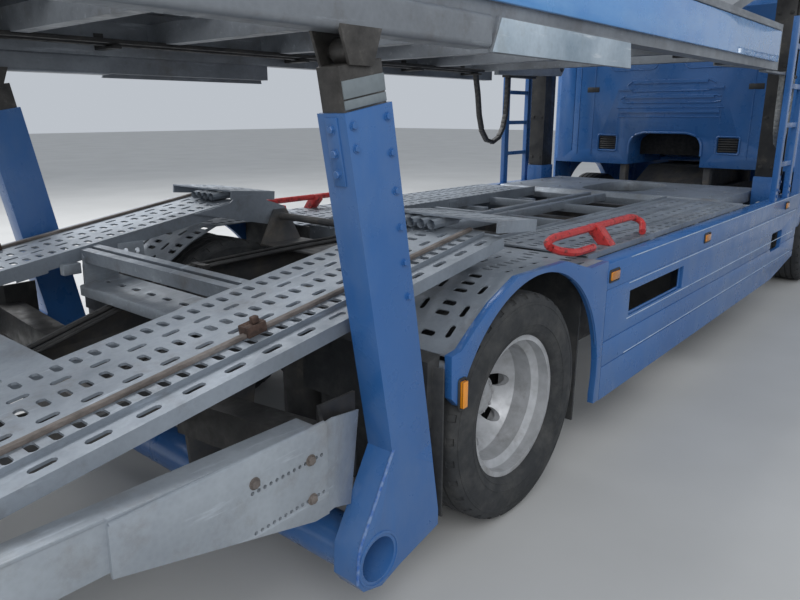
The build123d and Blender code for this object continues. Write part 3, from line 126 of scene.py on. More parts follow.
def finish(tree, shader, colour, patches=None, relief=None):
    """Link a material's colour, roughness and relief.

    The patches are noise's scale and detail, and the least and most roughness.
    The relief is noise's scale and detail, and the bump's strength and depth."""
    tree.links.new(colour, shader.inputs["Base Color"])
    if patches:
        scale, detail, least, most = patches
        rough = ramp(tree, noise(tree, scale, detail), (0.3, least), (0.7, most))
        tree.links.new(rough, shader.inputs["Roughness"])
    if relief:
        scale, detail, strength, depth = relief
        grain(tree, shader, noise(tree, scale, detail), strength, depth)


floor_paint, tree, shader = new_material("floor_plain", 0.85)
finish(tree, shader, ramp(tree, noise(tree, 0.8), (0.3, (0.52, 0.52, 0.51)), (0.7, (0.58, 0.58, 0.57))))
bpy.ops.mesh.primitive_plane_add(size=120, location=(0, 0, -0.001))
floor = bpy.context.object
floor.name = "floor"
floor.data.materials.append(floor_paint)

bpy.ops.object.light_add(type="AREA", location=(-1.0, 7.5, 8.5), rotation=(radians(-42), 0, 0))
left_lamp = bpy.context.object.data
left_lamp.shape = "RECTANGLE"
left_lamp.size = 12
left_lamp.size_y = 6
left_lamp.energy = 1000
bpy.ops.object.light_add(type="AREA", location=(-8.0, -7.0, 6.5), rotation=(radians(55), 0, radians(-50)))
rear_lamp = bpy.context.object.data
rear_lamp.size = 7
rear_lamp.energy = 420
world = bpy.context.scene.world or bpy.data.worlds.new("surround")
bpy.context.scene.world = world
world.use_nodes = True
surround = world.node_tree.nodes["Background"]
surround.inputs["Color"].default_value = (0.86, 0.92, 1.0, 1)
surround.inputs["Strength"].default_value = 0.58


# Chassis: two channel rails pressed from thick sheet, painted grey, with bolted cross-members.
# Brake pipes and cables run along their webs in clips, and bolts with washers hold the brackets.
def alone(obj):
    """Select one object and nothing else."""
    bpy.ops.object.select_all(action="DESELECT")
    obj.select_set(True)
    bpy.context.view_layer.objects.active = obj


def settle(obj):
    """Put the piece's place into its mesh."""
    alone(obj)
    bpy.ops.object.transform_apply(location=True, rotation=True, scale=True)


def pick(obj, test, kind="VERT"):
    """Enter edit mode with the vertices or faces selected whose place passes a test."""
    alone(obj)
    bpy.ops.object.mode_set(mode="EDIT")
    bpy.ops.mesh.select_mode(type=kind)
    bpy.ops.mesh.select_all(action="DESELECT")
    bpy.ops.object.mode_set(mode="OBJECT")
    for element in obj.data.vertices if kind == "VERT" else obj.data.polygons:
        element.select = bool(test(element.co if kind == "VERT" else element))
    bpy.ops.object.mode_set(mode="EDIT")


def leave_edit():
    bpy.ops.object.mode_set(mode="OBJECT")


def dish(obj, test, thickness, depth):
    """Inset the faces that pass a test, and move their middles along their normals."""
    pick(obj, test, "FACE")
    bpy.ops.mesh.inset(thickness=thickness, depth=depth)
    leave_edit()


def apply(obj, kind, **settings):
    """Add a modifier with these settings and apply it."""
    alone(obj)
    modifier = obj.modifiers.new("step", kind)
    for key, value in settings.items():
        setattr(modifier, key, value)
    bpy.ops.object.modifier_apply(modifier=modifier.name)


def join(pieces):
    bpy.ops.object.select_all(action="DESELECT")
    for obj in pieces:
        obj.select_set(True)
    bpy.context.view_layer.objects.active = pieces[0]
    bpy.ops.object.join()
    return pieces[0]


def copies(obj, places):
    """Copies of a piece moved to places, each with its own mesh; the first piece goes."""
    made = []
    for place in places:
        other = obj.copy()
        other.data = obj.data.copy()
        other.location = place
        bpy.context.scene.collection.objects.link(other)
        settle(other)
        made.append(other)
    bpy.data.objects.remove(obj)
    return made


def smooth(obj, angle=35):
    alone(obj)
    bpy.ops.object.shade_smooth_by_angle(angle=radians(angle))


def hang(obj, name, material, body, slot, *stands_for):
    """Give a finished piece its name, material and body, and hide what it stands for. The slot is not used.
    """
    smooth(obj)
    obj.name = name
    obj.data.name = name
    obj.data.materials.clear()
    obj.data.materials.append(material)
    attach(obj, body)
    if stands_for:
        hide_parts(*stands_for)


def recoat(node, material):
    """Give a CAD node that stays in view a better material."""
    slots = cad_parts[node].data.materials
    slots.clear()
    slots.append(material)


def merged(node):
    """Copy of a CAD node as one closed mesh with its flat faces whole, to be worked on in its place."""
    obj = bpy.data.objects.new(node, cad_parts[node].data.copy())
    bpy.context.scene.collection.objects.link(obj)
    alone(obj)
    bpy.ops.mesh.customdata_custom_splitnormals_clear()
    bpy.ops.object.mode_set(mode="EDIT")
    bpy.ops.mesh.select_all(action="SELECT")
    bpy.ops.mesh.remove_doubles(threshold=0.00002)
    bpy.ops.mesh.dissolve_limited(angle_limit=radians(0.5))
    leave_edit()
    return obj


def rounded(node, width, segments=2):
    """Merged copy of a CAD node with its sharp edges rolled over, as folded and welded steel has them."""
    obj = merged(node)
    apply(obj, "BEVEL", width=width, segments=segments, limit_method="ANGLE", angle_limit=radians(38))
    return obj


def line_through(points):
    """Line drawn from point to point, each extruded from the last."""
    bpy.ops.object.select_all(action="DESELECT")
    bpy.ops.mesh.primitive_plane_add(size=0.01, location=(0, 0, 0))
    line = bpy.context.object
    bpy.ops.object.mode_set(mode="EDIT")
    bpy.ops.mesh.select_mode(type="VERT")
    bpy.ops.mesh.select_all(action="SELECT")
    bpy.ops.mesh.merge(type="CENTER")
    bpy.ops.transform.translate(value=points[0])
    for start, end in zip(points, points[1:]):
        step = tuple(b - a for a, b in zip(start, end))
        bpy.ops.mesh.extrude_vertices_move(TRANSFORM_OT_translate={"value": step})
    leave_edit()
    return line


def tube(points, radius, corner=0.0, closed=False):
    """Round tube along a line with rounded corners."""
    line = line_through([*points, points[0]] if closed else points)
    if closed:
        pick(line, lambda co: True)
        bpy.ops.mesh.remove_doubles(threshold=0.0005)
        leave_edit()
    if corner:
        ends = [0] * len(line.data.vertices)
        for edge in line.data.edges:
            for index in edge.vertices:
                ends[index] += 1
        alone(line)
        bpy.ops.object.mode_set(mode="EDIT")
        bpy.ops.mesh.select_mode(type="VERT")
        bpy.ops.mesh.select_all(action="DESELECT")
        leave_edit()
        for vertex in line.data.vertices:
            vertex.select = ends[vertex.index] == 2
        bpy.ops.object.mode_set(mode="EDIT")
        bpy.ops.mesh.bevel(affect="VERTICES", offset=corner, segments=4)
        leave_edit()
    bpy.ops.object.convert(target="CURVE")
    line = bpy.context.object
    line.data.bevel_depth = radius
    line.data.bevel_resolution = 2
    line.data.use_fill_caps = True
    bpy.ops.object.convert(target="MESH")
    return bpy.context.object


def bar(low, high, edge=0.003):
    """Square bar or plate between two corners, its edges rolled over."""
    middle = tuple((a + b) / 2 for a, b in zip(low, high))
    size = tuple(abs(b - a) for a, b in zip(low, high))
    bpy.ops.object.select_all(action="DESELECT")
    bpy.ops.mesh.primitive_cube_add(size=1, location=middle, scale=size)
    piece = bpy.context.object
    settle(piece)
    bpy.ops.object.mode_set(mode="EDIT")
    bpy.ops.mesh.select_all(action="SELECT")
    bpy.ops.mesh.bevel(offset=edge, segments=2, affect="EDGES")
    leave_edit()
    return piece


def bolt(radius, height, turn=(0, 0, 0)):
    """Hexagon head on a washer, standing up from the origin and then turned."""
    bpy.ops.object.select_all(action="DESELECT")
    bpy.ops.mesh.primitive_cylinder_add(vertices=12, radius=1.35 * radius, depth=0.003,
                                        location=(0, 0, 0.0005))
    washer = bpy.context.object
    settle(washer)
    bpy.ops.mesh.primitive_cylinder_add(vertices=6, radius=radius, depth=height, location=(0, 0, height / 2))
    head = bpy.context.object
    settle(head)
    pick(head, lambda face: face.normal.z > 0.9, "FACE")
    bpy.ops.mesh.bevel(offset=0.12 * radius, segments=1, affect="EDGES")
    leave_edit()
    head = join([head, washer])
    head.rotation_euler = turn
    settle(head)
    return head


rear = (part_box("tyres_rear_left")[0][0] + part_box("tyres_rear_left")[1][0]) / 2
front = (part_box("tyre_front_left")[0][0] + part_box("tyre_front_left")[1][0]) / 2
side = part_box("side_beams")[1][1]
outward = ((1, "left", (-pi / 2, 0, 0)), (-1, "right", (pi / 2, 0, 0)))
rearward = (0, -pi / 2, 0)


def side_view(y, *points):
    """Points drawn from the side, from the rear axle and the ground, at a distance across."""
    return [(rear + x, y, z) for x, z in points]


def plate(hand, along, across, up, edge=0.003):
    """Plate between two places from the rear axle, two across on one hand, and two heights."""
    return bar((rear + along[0], hand * across[0], up[0]), (rear + along[1], hand * across[1], up[1]), edge)


rail_grey, tree, shader = new_material("rail_grey_dusty")
paint = ramp(tree, noise(tree, 2.4, 6), (0.3, (0.050, 0.052, 0.056)), (0.7, (0.095, 0.095, 0.098)))
dust = ramp(tree, noise(tree, 5, 9, 0.68), (0.46, 0.0), (0.72, 0.8))
finish(tree, shader, mix(tree, dust, paint, (0.17, 0.145, 0.115)), (18, 4, 0.5, 0.78), (70, 3, 0.2, 0.002))
black, tree, shader = new_material("chassis_black_road")
grime = ramp(tree, noise(tree, 6, 8, 0.65), (0.35, (0.014, 0.014, 0.015)), (0.60, (0.040, 0.038, 0.036)),
             (0.82, (0.13, 0.112, 0.09)))
finish(tree, shader, grime, (20, 4, 0.4, 0.72), (60, 3, 0.2, 0.002))

hang(rounded("chassis_frame", 0.003), "chassis_rails", rail_grey, "chassis", "chassis_grey", "chassis_frame")
for node in ("front_axle", "rear_axle", "springs", "coupling", "engine", "knuckle_left", "knuckle_right"):
    recoat(node, rail_grey if node == "engine" else black)
pipe_runs = ((0.345, 0.011, 0.0), (0.318, 0.008, 0.01), (0.292, 0.013, -0.005), (0.262, 0.008, 0.0))
pipe_path = ((-2.45, 0.668), (-1.34, 0.668), (-0.44, 0.915), (0.10, 0.925), (0.75, 0.925))
pipes = []
for hand, name, turn in outward:
    for inset, radius, lift in pipe_runs:
        pipes.append(tube(side_view(hand * inset, *[(x, z + lift) for x, z in pipe_path]), radius, 0.09))
hang(join(pipes), "brake_pipes", black, "chassis", "chassis_black")
clips = []
for x, z in ((-2.455, 0.662), (-1.86, 0.662), (-0.42, 0.905), (0.68, 0.905)):
    for hand in (1, -1):
        clips.append(plate(hand, (x - 0.02, x + 0.02), (0.25, 0.36), (z - 0.012, z + 0.022)))
hang(join(clips), "pipe_clips", black, "chassis", "chassis_black")
web = 0.4295
tail_rows = [(x, z) for x in (-2.50, -2.42, -1.93, -1.85, -1.28, -1.2) for z in (0.52, 0.60)]
middle_rows = [(x, z) for x in (0.64, 0.70, 1.60, 1.66, 2.60, 2.66, 3.62, 3.68) for z in (0.70, 0.84)]
rail_bolts = []
for hand, name, turn in outward:
    rail_bolts += copies(bolt(0.012, 0.010, turn), side_view(hand * web, *tail_rows, *middle_rows))
hang(join(rail_bolts), "rail_bolts", black, "chassis", "chassis_black")


# Tyres: radial truck tyres of black rubber with four grooves round the tread, blocks at the
# shoulders and moulded rings on the walls. They are mounted as twins on the rear axle.
def ring(points, steps):
    """Ring turned about the axle from a closed section of distances out along it and radii."""
    section = line_through([(0, across, radius) for across, radius in (*points, points[0])])
    pick(section, lambda co: True)
    bpy.ops.mesh.remove_doubles(threshold=0.00005)
    bpy.ops.mesh.select_all(action="SELECT")
    bpy.ops.mesh.spin(steps=steps, angle=2 * pi, center=(0, 0, 0), axis=(0, 1, 0))
    bpy.ops.mesh.select_all(action="SELECT")
    bpy.ops.mesh.remove_doubles(threshold=0.00005)
    bpy.ops.mesh.normals_make_consistent(inside=False)
    leave_edit()
    return bpy.context.object


tyre_radius = 0.475
tread_half = [(0.0, 0.475), (0.021, 0.475), (0.024, 0.465), (0.033, 0.465), (0.036, 0.475), (0.074, 0.474),
              (0.077, 0.464), (0.086, 0.464), (0.089, 0.4735), (0.116, 0.472), (0.131, 0.467), (0.143, 0.454)]
wall_half = [(0.1475, 0.438), (0.1500, 0.437), (0.1515, 0.428), (0.1500, 0.426), (0.1565, 0.396),
             (0.1572, 0.380), (0.1552, 0.352), (0.1566, 0.351), (0.1566, 0.347), (0.1540, 0.346),
             (0.1440, 0.322), (0.1455, 0.320), (0.1430, 0.314), (0.1330, 0.304), (0.1245, 0.2995),
             (0.110, 0.2985), (0.102, 0.2865)]
tyre_half = tread_half + wall_half
shoulder_steps = 96


def shoulder_block(face):
    """Every third face round the shoulders lies between two blocks."""
    x, y, z = face.center
    turned = (atan(x / z) if abs(z) > 1e-6 else pi / 2) + 2 * pi
    on_shoulder = 0.455 < hypot(x, z) < 0.4725 and abs(y) > 0.117
    return on_shoulder and int(turned / (2 * pi / shoulder_steps)) % 3 == 0


tyre = ring(tyre_half + [(-across, radius) for across, radius in reversed(tyre_half[1:])], shoulder_steps)
dish(tyre, shoulder_block, 0.002, -0.006)
rubber, tree, shader = new_material("tyre_rubber_dusty", 0.8)
fresh = ramp(tree, noise(tree, 3, 6), (0.3, (0.018, 0.020, 0.022)), (0.7, (0.036, 0.038, 0.041)))
dust = ramp(tree, noise(tree, 9, 9, 0.7), (0.45, 0.0), (0.8, 0.6))
dusty = mix(tree, dust, fresh, (0.105, 0.102, 0.096))
finish(tree, shader, dusty, (30, 4, 0.68, 0.88), (150, 2, 0.25, 0.001))
tyre_half_width = 0.1575
rear_y = side - 0.005 - tyre_half_width
front_y = side - 0.025 - tyre_half_width
twin = 0.350
tyres = copies(tyre, [(axle, hand * y, tyre_radius) for hand, name, turn in outward
                      for axle, y in ((rear, rear_y), (rear, rear_y - twin), (front, front_y))])
for (hand, name, turn), outer, inner, single in zip(outward, tyres[::3], tyres[1::3], tyres[2::3]):
    pair = join([outer, inner])
    hang(pair, f"tyre_twins_{name}", rubber, f"wheels_rear_{name}", "tyre", f"tyres_rear_{name}")
    hang(single, f"tyre_single_{name}", rubber, f"wheel_front_{name}", "tyre", f"tyre_front_{name}")


# Wheels: pressed steel discs welded into their rims and painted silver, dulled by brake dust.
# Ten nuts hold each to its hub, whose cap is bolted on round its edge.
def lay(piece, slope, origin):
    """Turn a piece made level at the origin up to a slope, and move it to its place."""
    piece.rotation_euler = (0, -slope, 0)
    piece.location = origin
    settle(piece)
    return piece


def round_axle(axle, y, radius, count):
    """Places on a circle round an axle."""
    turns = [2 * pi * n / count for n in range(count)]
    return [(axle + radius * cos(turned), y, tyre_radius + radius * sin(turned)) for turned in turns]


silver, tree, shader = new_material("wheel_silver", 0.45, 0.35)
paint = ramp(tree, noise(tree, 16, 6), (0.3, (0.40, 0.41, 0.42)), (0.7, (0.56, 0.57, 0.59)))
dust = ramp(tree, noise(tree, 7, 9, 0.7), (0.48, 0.0), (0.78, 0.75))
finish(tree, shader, mix(tree, dust, paint, (0.155, 0.135, 0.115)), (25, 4, 0.36, 0.6), (120, 2, 0.12, 0.001))
cap_section = ((-0.05, 0.0005), (0.002, 0.0005), (0.012, 0.02), (0.014, 0.050), (0.010, 0.072),
               (0.004, 0.078), (-0.05, 0.078))
for hand, name, turn in outward:
    for axle, face, hub, body in ((rear, rear_y - 0.163, 0.130, f"wheels_rear_{name}"),
                                  (front, front_y + 0.132, 0.024, f"wheel_front_{name}")):
        recoat(body, silver)
        hub_face = face + hub - 0.012
        nuts = copies(bolt(0.0165, 0.028, turn), round_axle(axle, hand * face, 0.1675, 10))
        nuts += copies(bolt(0.007, 0.008, turn), round_axle(axle, hand * (hub_face + 0.011), 0.064, 8))
        cap = ring([(hand * (hub_face + out), radius) for out, radius in cap_section], 32)
        lay(cap, 0, (axle, 0, tyre_radius))
        valve = tube([(axle - 0.03, hand * (face + out), tyre_radius + up)
                      for out, up in ((-0.005, 0.228), (0.02, 0.228), (0.06, 0.215))], 0.0045, 0.008)
        hang(join([*nuts, cap, valve]), f"hub_and_nuts_{body[5:]}", silver, body, "wheel_steel")


# Mudguards: galvanised plate folded in flats over the twin wheels, between the chassis rails and
# the blue wings. Each flat is punched with rows of slots, turned by a quarter from row to row.
def streaked_zinc(name, light, dark, stain):
    """Hot-dip zinc: grey with a fine spangle, long scuffs along the deck and brown stains."""
    material, tree, shader = new_material(name, 0.5, 0.4)
    plain = ramp(tree, noise(tree, 2.2, 8, 0.6), (0.30, dark), (0.70, light))
    spangle = tree.nodes.new("ShaderNodeTexVoronoi")
    spangle.inputs["Scale"].default_value = 60
    place = tree.nodes.new("ShaderNodeTexCoord")
    tree.links.new(place.outputs["Object"], spangle.inputs["Vector"])
    shade = ramp(tree, spangle.outputs["Distance"], (0.0, 0.90), (0.8, 1.0))
    plain = mix(tree, 0.8, plain, shade, "MULTIPLY")
    scuffs = ramp(tree, noise(tree, 22, 8, 0.65, (0.12, 1, 1)), (0.60, 0.0), (0.72, 0.55))
    plain = mix(tree, scuffs, plain, tuple(min(1.0, 1.6 * c) for c in light))
    worn = ramp(tree, noise(tree, 3.1, 12, 0.75), (0.53, 0.0), (0.70, 0.55))
    finish(tree, shader, mix(tree, worn, plain, stain), (14, 6, 0.36, 0.64), (80, 4, 0.22, 0.002))
    return material


def punch_row(length, width, crossways, start, pitch, count, y, level=0.0, along="x"):
    """Row of round-ended punches in a deck's own plane, from start along x or y."""
    middle = level - 0.006
    bpy.ops.object.select_all(action="DESELECT")
    bpy.ops.mesh.primitive_cylinder_add(vertices=10, radius=width / 2, depth=0.026)
    punch = bpy.context.object
    for way in (1, -1):
        pick(punch, lambda co: co.y * way > 0)
        bpy.ops.transform.translate(value=(0, way * (length - width) / 2, 0))
        leave_edit()
    punch.rotation_euler = (0, 0, 0 if crossways else pi / 2)
    punch.location = (start, y, middle) if along == "x" else (y, start, middle)
    settle(punch)
    step = (pitch, 0, 0) if along == "x" else (0, pitch, 0)
    apply(punch, "ARRAY", count=count, use_relative_offset=False, use_constant_offset=True,
          constant_offset_displace=step)
    return punch


def punch_deck(start, end, rows, origin, slope=0.0, size=(0.057, 0.027, 0.060, 0.026), pitch=0.0575):
    """Punches for both tracks: rows of y, crossways or not, and level, then laid on the deck's slope."""
    wide, broad, long, slim = size
    made = []
    for y, crossways, level in rows:
        gap = pitch if crossways else 2 * pitch
        for hand in (1, -1):
            made.append(punch_row(wide if crossways else long, broad if crossways else slim, crossways,
                                  start + gap / 2, gap, int((end - start) / gap), hand * y, level))
    return lay(join(made), slope, origin)


def cut(plate, punches):
    apply(plate, "BOOLEAN", object=punches, operation="DIFFERENCE", solver="EXACT")
    bpy.data.objects.remove(punches)


# Partly painted shade: this zinc is darkened and tinted blue, like the plates in shade; its streaks and
# stains are weathering.
zinc = streaked_zinc("zinc_weathered_and_shaded", (0.335, 0.375, 0.425), (0.195, 0.222, 0.255), (0.125, 0.102, 0.082))
guard_top = ((0.718, 0.971), (0.539, 0.967), (0.302, 1.037), (-0.085, 1.039), (-0.254, 0.970),
             (-0.364, 0.900), (-0.447, 0.840))
guard_rows = [(y, index % 2 == 0, 0.0) for index, y in enumerate((0.70, 0.80, 0.90, 1.00, 1.10, 1.185))]
guard_slots = (0.062, 0.026, 0.060, 0.026)
guards = merged("mudguards")
for (x_high, z_high), (x_low, z_low) in zip(guard_top, guard_top[1:]):
    run = hypot(x_high - x_low, z_high - z_low)
    rise = atan((z_high - z_low) / (x_high - x_low))
    origin = (rear + x_low, 0, z_low + 0.007)
    cut(guards, punch_deck(0.012, run - 0.005, guard_rows, origin, rise, guard_slots, 0.052))
hang(guards, "mudguard_plates", zinc, "chassis", "galvanised", "mudguards")

# Wings and skirts: folded sheet steel painted blue, three planks deep, on hidden brackets. Their
# rolled edges are welded on, and pale lines along the plank seams are painted highlights.
blue, tree, shader = new_material("blue_gloss", 0.32)
paint = ramp(tree, noise(tree, 1.3, 6), (0.3, (0.024, 0.112, 0.325)), (0.7, (0.033, 0.138, 0.380)))
film = ramp(tree, noise(tree, 2.0, 10, 0.7, (1, 1, 0.4)), (0.48, 0.0), (0.80, 0.30))
chips = ramp(tree, noise(tree, 60, 6, 0.7), (0.70, 0.0), (0.74, 0.7))
finish(tree, shader, mix(tree, chips, mix(tree, film, paint, (0.24, 0.30, 0.36)), (0.012, 0.035, 0.11)),
       (9, 6, 0.22, 0.40), (260, 2, 0.05, 0.0005))
shader.inputs["Coat Weight"].default_value = 0.3
shader.inputs["Coat Roughness"].default_value = 0.12
hang(rounded("side_panels", 0.006, 3), "skirts_and_wings", blue, "chassis", "blue_paint", "side_panels")
hang(rounded("side_beams", 0.004), "side_channels", blue, "chassis", "blue_paint", "side_beams")
arc_x = 0.090
arc_z = 0.440
arc_radius = 0.585
arc_turns = [radians(a) for a in range(14, 137, 6)]
wing_arc = [(arc_x + arc_radius * cos(a), arc_z + arc_radius * sin(a)) for a in arc_turns]
recess = ((1.0, 0.777), (1.0, 0.647), (1.77, 0.647), (1.77, 0.777))
edges = []
for hand, name, turn in outward:
    edges.append(tube(side_view(hand * (side - 0.010), *wing_arc), 0.007))
    edges.append(tube(side_view(hand * (side - 0.025), *recess), 0.006, 0.012, True))
hang(join(edges), "rolled_edges", blue, "chassis", "blue_paint")
# Painted highlight: thin pale blue tubes along the skirts' plank seams stand in for light caught on their
# edges.
seam_highlight, tree, shader = new_material("blue_seam_highlight", 0.42)
highlight_blue = ramp(tree, noise(tree, 7, 8, 0.6), (0.30, (0.24, 0.36, 0.54)), (0.60, (0.46, 0.56, 0.68)))
finish(tree, shader, highlight_blue, (40, 4, 0.34, 0.55), (180, 3, 0.10, 0.0006))
seams = []
for hand, name, turn in outward:
    for height in (0.952, 0.820, 0.635, 0.455):
        seams.append(tube(side_view(hand * side, (0.98, height), (4.55, height)), 0.0028))
hang(join(seams), "seam_highlights", seam_highlight, "chassis", "blue_paint")

# Mud flaps and tanks: sheets of black rubber that hang ahead of and behind the rear wheels, and
# pressed boxes on the chassis behind the skirts, darkened as painted shade under the decks.
recoat("mud_flaps", rubber)
sheets = [plate(hand, (-0.546, -0.537), (0.665, 1.272), (0.240, 0.800)) for hand, name, turn in outward]
hang(join(sheets), "long_flaps", rubber, "chassis", "black_rubber")
# Painted shade: the tanks are darkened so that what shows through the deck's slots reads as shade; the
# brownish noise is road dirt.
tank_shaded, tree, shader = new_material("tank_grey_painted_shade")
dirt_and_shade = ramp(tree, noise(tree, 5, 8, 0.65), (0.35, (0.020, 0.021, 0.023)), (0.7, (0.07, 0.066, 0.06)))
finish(tree, shader, dirt_and_shade, (22, 4, 0.4, 0.7), (50, 3, 0.2, 0.002))
hang(rounded("tanks", 0.006), "tank_boxes", tank_shaded, "chassis", "tank_grey", "tanks")


# Lower deck: two perforated tracks of folded galvanised plate on outriggers and cross bars, with
# inner rails between them and a bevelled frame behind the cab. All of it is bolted together.
deck_top = 0.985
track_rows = [(0.655, True, 0.0), (0.745, False, 0.0), (0.835, True, 0.0), (0.925, False, 0.0),
              (1.01, True, 0.0), (1.085, False, 0.0), (1.135, False, 0.0)]
tracks = merged("deck_tracks")
cut(tracks, punch_deck(0.75, 3.27, track_rows, (rear, 0, deck_top)))
hang(tracks, "track_plates", zinc, "chassis", "galvanised", "deck_tracks")
hang(rounded("deck_frame", 0.004), "deck_bearers", zinc, "chassis", "galvanised", "deck_frame")
frame_bolts = [(rear + x, y, deck_top + 0.0075) for x in (3.50, 3.9, 4.3) for y in (-0.86, -0.45, 0.45, 0.86)]
rail_ends = [(rear + x, y, deck_top) for x in (1.02, 1.79, 2.58) for y in (0.065, -0.065)]
hang(join(copies(bolt(0.011, 0.009), frame_bolts + rail_ends)), "deck_bolts", zinc, "chassis", "galvanised")


# Wheel stops: bent red tubes that stand along the edge of each track on a welded clamp, scratched
# down to a darker coat by tyres and straps.
def slab(outline, *steps, edge=0.0):
    """Plate drawn as an outline and extruded by one or more steps, its edges rolled over if asked."""
    piece = line_through(outline)
    pick(piece, lambda co: True)
    bpy.ops.mesh.edge_face_add()
    for step in steps:
        bpy.ops.mesh.extrude_region_move(TRANSFORM_OT_translate={"value": step})
    bpy.ops.mesh.select_all(action="SELECT")
    bpy.ops.mesh.normals_make_consistent(inside=False)
    if edge:
        bpy.ops.mesh.bevel(offset=edge, segments=2, affect="EDGES")
    leave_edit()
    return piece


red, tree, shader = new_material("red_scratched", 0.4)
scratched = ramp(tree, noise(tree, 34, 8, 0.7), (0.36, (0.12, 0.025, 0.02)), (0.46, (0.52, 0.035, 0.035)),
                 (0.8, (0.62, 0.075, 0.065)))
finish(tree, shader, scratched, (40, 4, 0.28, 0.5), (90, 3, 0.15, 0.001))
stop_points = ((0.83, 0.025, 0.019), (0.64, 0.025, 0.019), (0.525, 0.06, 0.042), (0.505, 0.108, 0.068),
               (0.59, 0.12, 0.085), (1.52, 0.12, 0.085), (1.56, 0.075, 0.055), (1.44, 0.025, 0.019))
brace_points = ((0.145, 0.06), (0.145, 0.10), (0.095, 0.10), (0.015, 0.0), (0.085, 0.0))
track_edge = side - 0.110
stops = []
for hand, name, turn in outward:
    bent = [(rear + x, hand * (track_edge - inset), deck_top + rise) for x, inset, rise in stop_points]
    brace = [(rear + 1.01, hand * (track_edge - inset), deck_top + rise) for inset, rise in brace_points]
    stops += [tube(bent, 0.019, 0.035), slab(brace, (0.07, 0, 0), edge=0.004)]
hang(join(stops), "wheel_stop_tubes", red, "chassis", "red_paint", "wheel_stops")


# Rear platform: two ribbed and perforated tracks on folded cross-members, hinged ahead of the
# axle. The flat bar along each track is bare steel gone brown, with a stop block welded on it.
slope = atan(0.153)
platform_top = 1.170
platform_place = (rear, 0, platform_top)
platform_rows = [(0.645, True, 0.0), (0.735, False, 0.0), (0.822, True, 0.0), (0.912, False, 0.0),
                 (1.0145, True, 0.0)]
ledge = 1.09
ledge_slots = (0.057, 0.027, 0.068, 0.027)
flap_rows = [*platform_rows, (ledge, False, 0.0)]
platform = merged("rear_platform")
cut(platform, punch_deck(-2.56, 0.0, platform_rows, platform_place, slope))
cut(platform, punch_deck(-2.52, 0.0, [(ledge, False, -0.015)], platform_place, slope, ledge_slots, 0.066))
cut(platform, punch_deck(0.0, 0.29, flap_rows, (rear - 0.02, 0, 1.228), radians(-5)))
# The solids' third tie is taken out here, because the hung step stands for it lower down.
bpy.ops.mesh.primitive_cube_add(size=1, location=(rear - 1.09, 0, 0.965), scale=(0.20, 1.1596, 0.13))
third_tie = bpy.context.object
settle(third_tie)
cut(platform, third_tie)
hang(platform, "platform_plates", zinc, "rear_platform", "galvanised", "rear_platform")


# Hung step between the tracks: a folded plate with one row of slots and a rolled rear edge, lower
# than the tracks, on punched hangers that are bolted to their inner flanges.
def drill(piece, places, radius, depth, sides):
    """Round holes at places through an upright plate that stands along the truck."""
    bits = []
    for place in places:
        bpy.ops.mesh.primitive_cylinder_add(vertices=sides, radius=radius, depth=depth,
                                            rotation=(pi / 2, 0, 0), location=place)
        bits.append(bpy.context.object)
    bits = join(bits)
    settle(bits)
    cut(piece, bits)


plate_zinc = streaked_zinc("zinc_bright", (0.41, 0.45, 0.49), (0.27, 0.30, 0.34), (0.22, 0.20, 0.18))
half = 0.572
step = bar((-0.094, -half, -0.004), (0.094, half, 0.004), 0.002)
cut(step, punch_row(0.056, 0.026, True, -0.50, 0.125, 9, 0.0, 0.004, "y"))
step_slope = atan(0.115)
lay(step, step_slope, (rear - 0.792, 0, 0.872))
hangers = [step, tube([(rear - 0.885, -half, 0.856), (rear - 0.885, half, 0.856)], 0.009),
           plate(1, (-0.894, -0.887), (-half, half), (0.816, 0.858), 0.002)]
for hand, name, turn in outward:
    holed = plate(hand, (-0.690, -0.555), (0.574, 0.580), (0.900, 1.030), 0.002)
    drill(holed, side_view(hand * 0.577, (-0.650, 0.945), (-0.650, 0.990), (-0.590, 0.935), (-0.590, 0.985)),
          0.014, 0.05, 16)
    hangers += [holed, plate(hand, (-0.870, -0.700), (0.566, half), (0.866, 1.010), 0.002),
                plate(hand, (-0.705, -0.660), (0.566, 0.580), (0.900, 0.930), 0.002),
                plate(hand, (-0.972, -0.890), (0.540, 0.578), (0.925, 0.975), 0.004)]
    hanger_bolts = side_view(hand * 0.566, (-0.86, 0.990), (-0.73, 0.990))
    hangers += copies(bolt(0.010, 0.009, (hand * pi / 2, 0, 0)), hanger_bolts)
hang(join(hangers), "hung_step", plate_zinc, "rear_platform", "galvanised")

# Ribs, stop blocks and tube ends on the platform: flat bars of bare steel gone brown, a rusty
# block welded on each, and the open ends of four tubes below each nose flap.
rust, tree, shader = new_material("bare_steel_brown", 0.75)
brown = ramp(tree, noise(tree, 26, 9, 0.7, (0.4, 1, 1)), (0.34, (0.085, 0.072, 0.065)),
             (0.55, (0.175, 0.150, 0.135)), (0.78, (0.30, 0.285, 0.275)))
finish(tree, shader, brown, relief=(120, 5, 0.4, 0.002))
burnt, tree, shader = new_material("block_rusty", 0.85)
flaking = ramp(tree, noise(tree, 40, 9, 0.7), (0.34, (0.035, 0.022, 0.018)), (0.55, (0.085, 0.050, 0.037)),
               (0.78, (0.16, 0.12, 0.10)))
finish(tree, shader, flaking, relief=(160, 5, 0.5, 0.003))
ribs = []
blocks = []
for hand, name, turn in outward:
    ribs.append(bar((-2.60, hand * 0.9735, 0.0), (0.012, hand * 0.9925, 0.0135), 0.002))
    block = bar((-1.145, hand * 0.955, 0.0), (-1.075, hand * 1.003, 0.034), 0.003)
    dish(block, lambda face: face.normal.z > 0.9, 0.008, -0.006)
    blocks += [block, bar((-1.112, hand * 0.97, 0.030), (-1.088, hand * 0.99, 0.052), 0.004)]
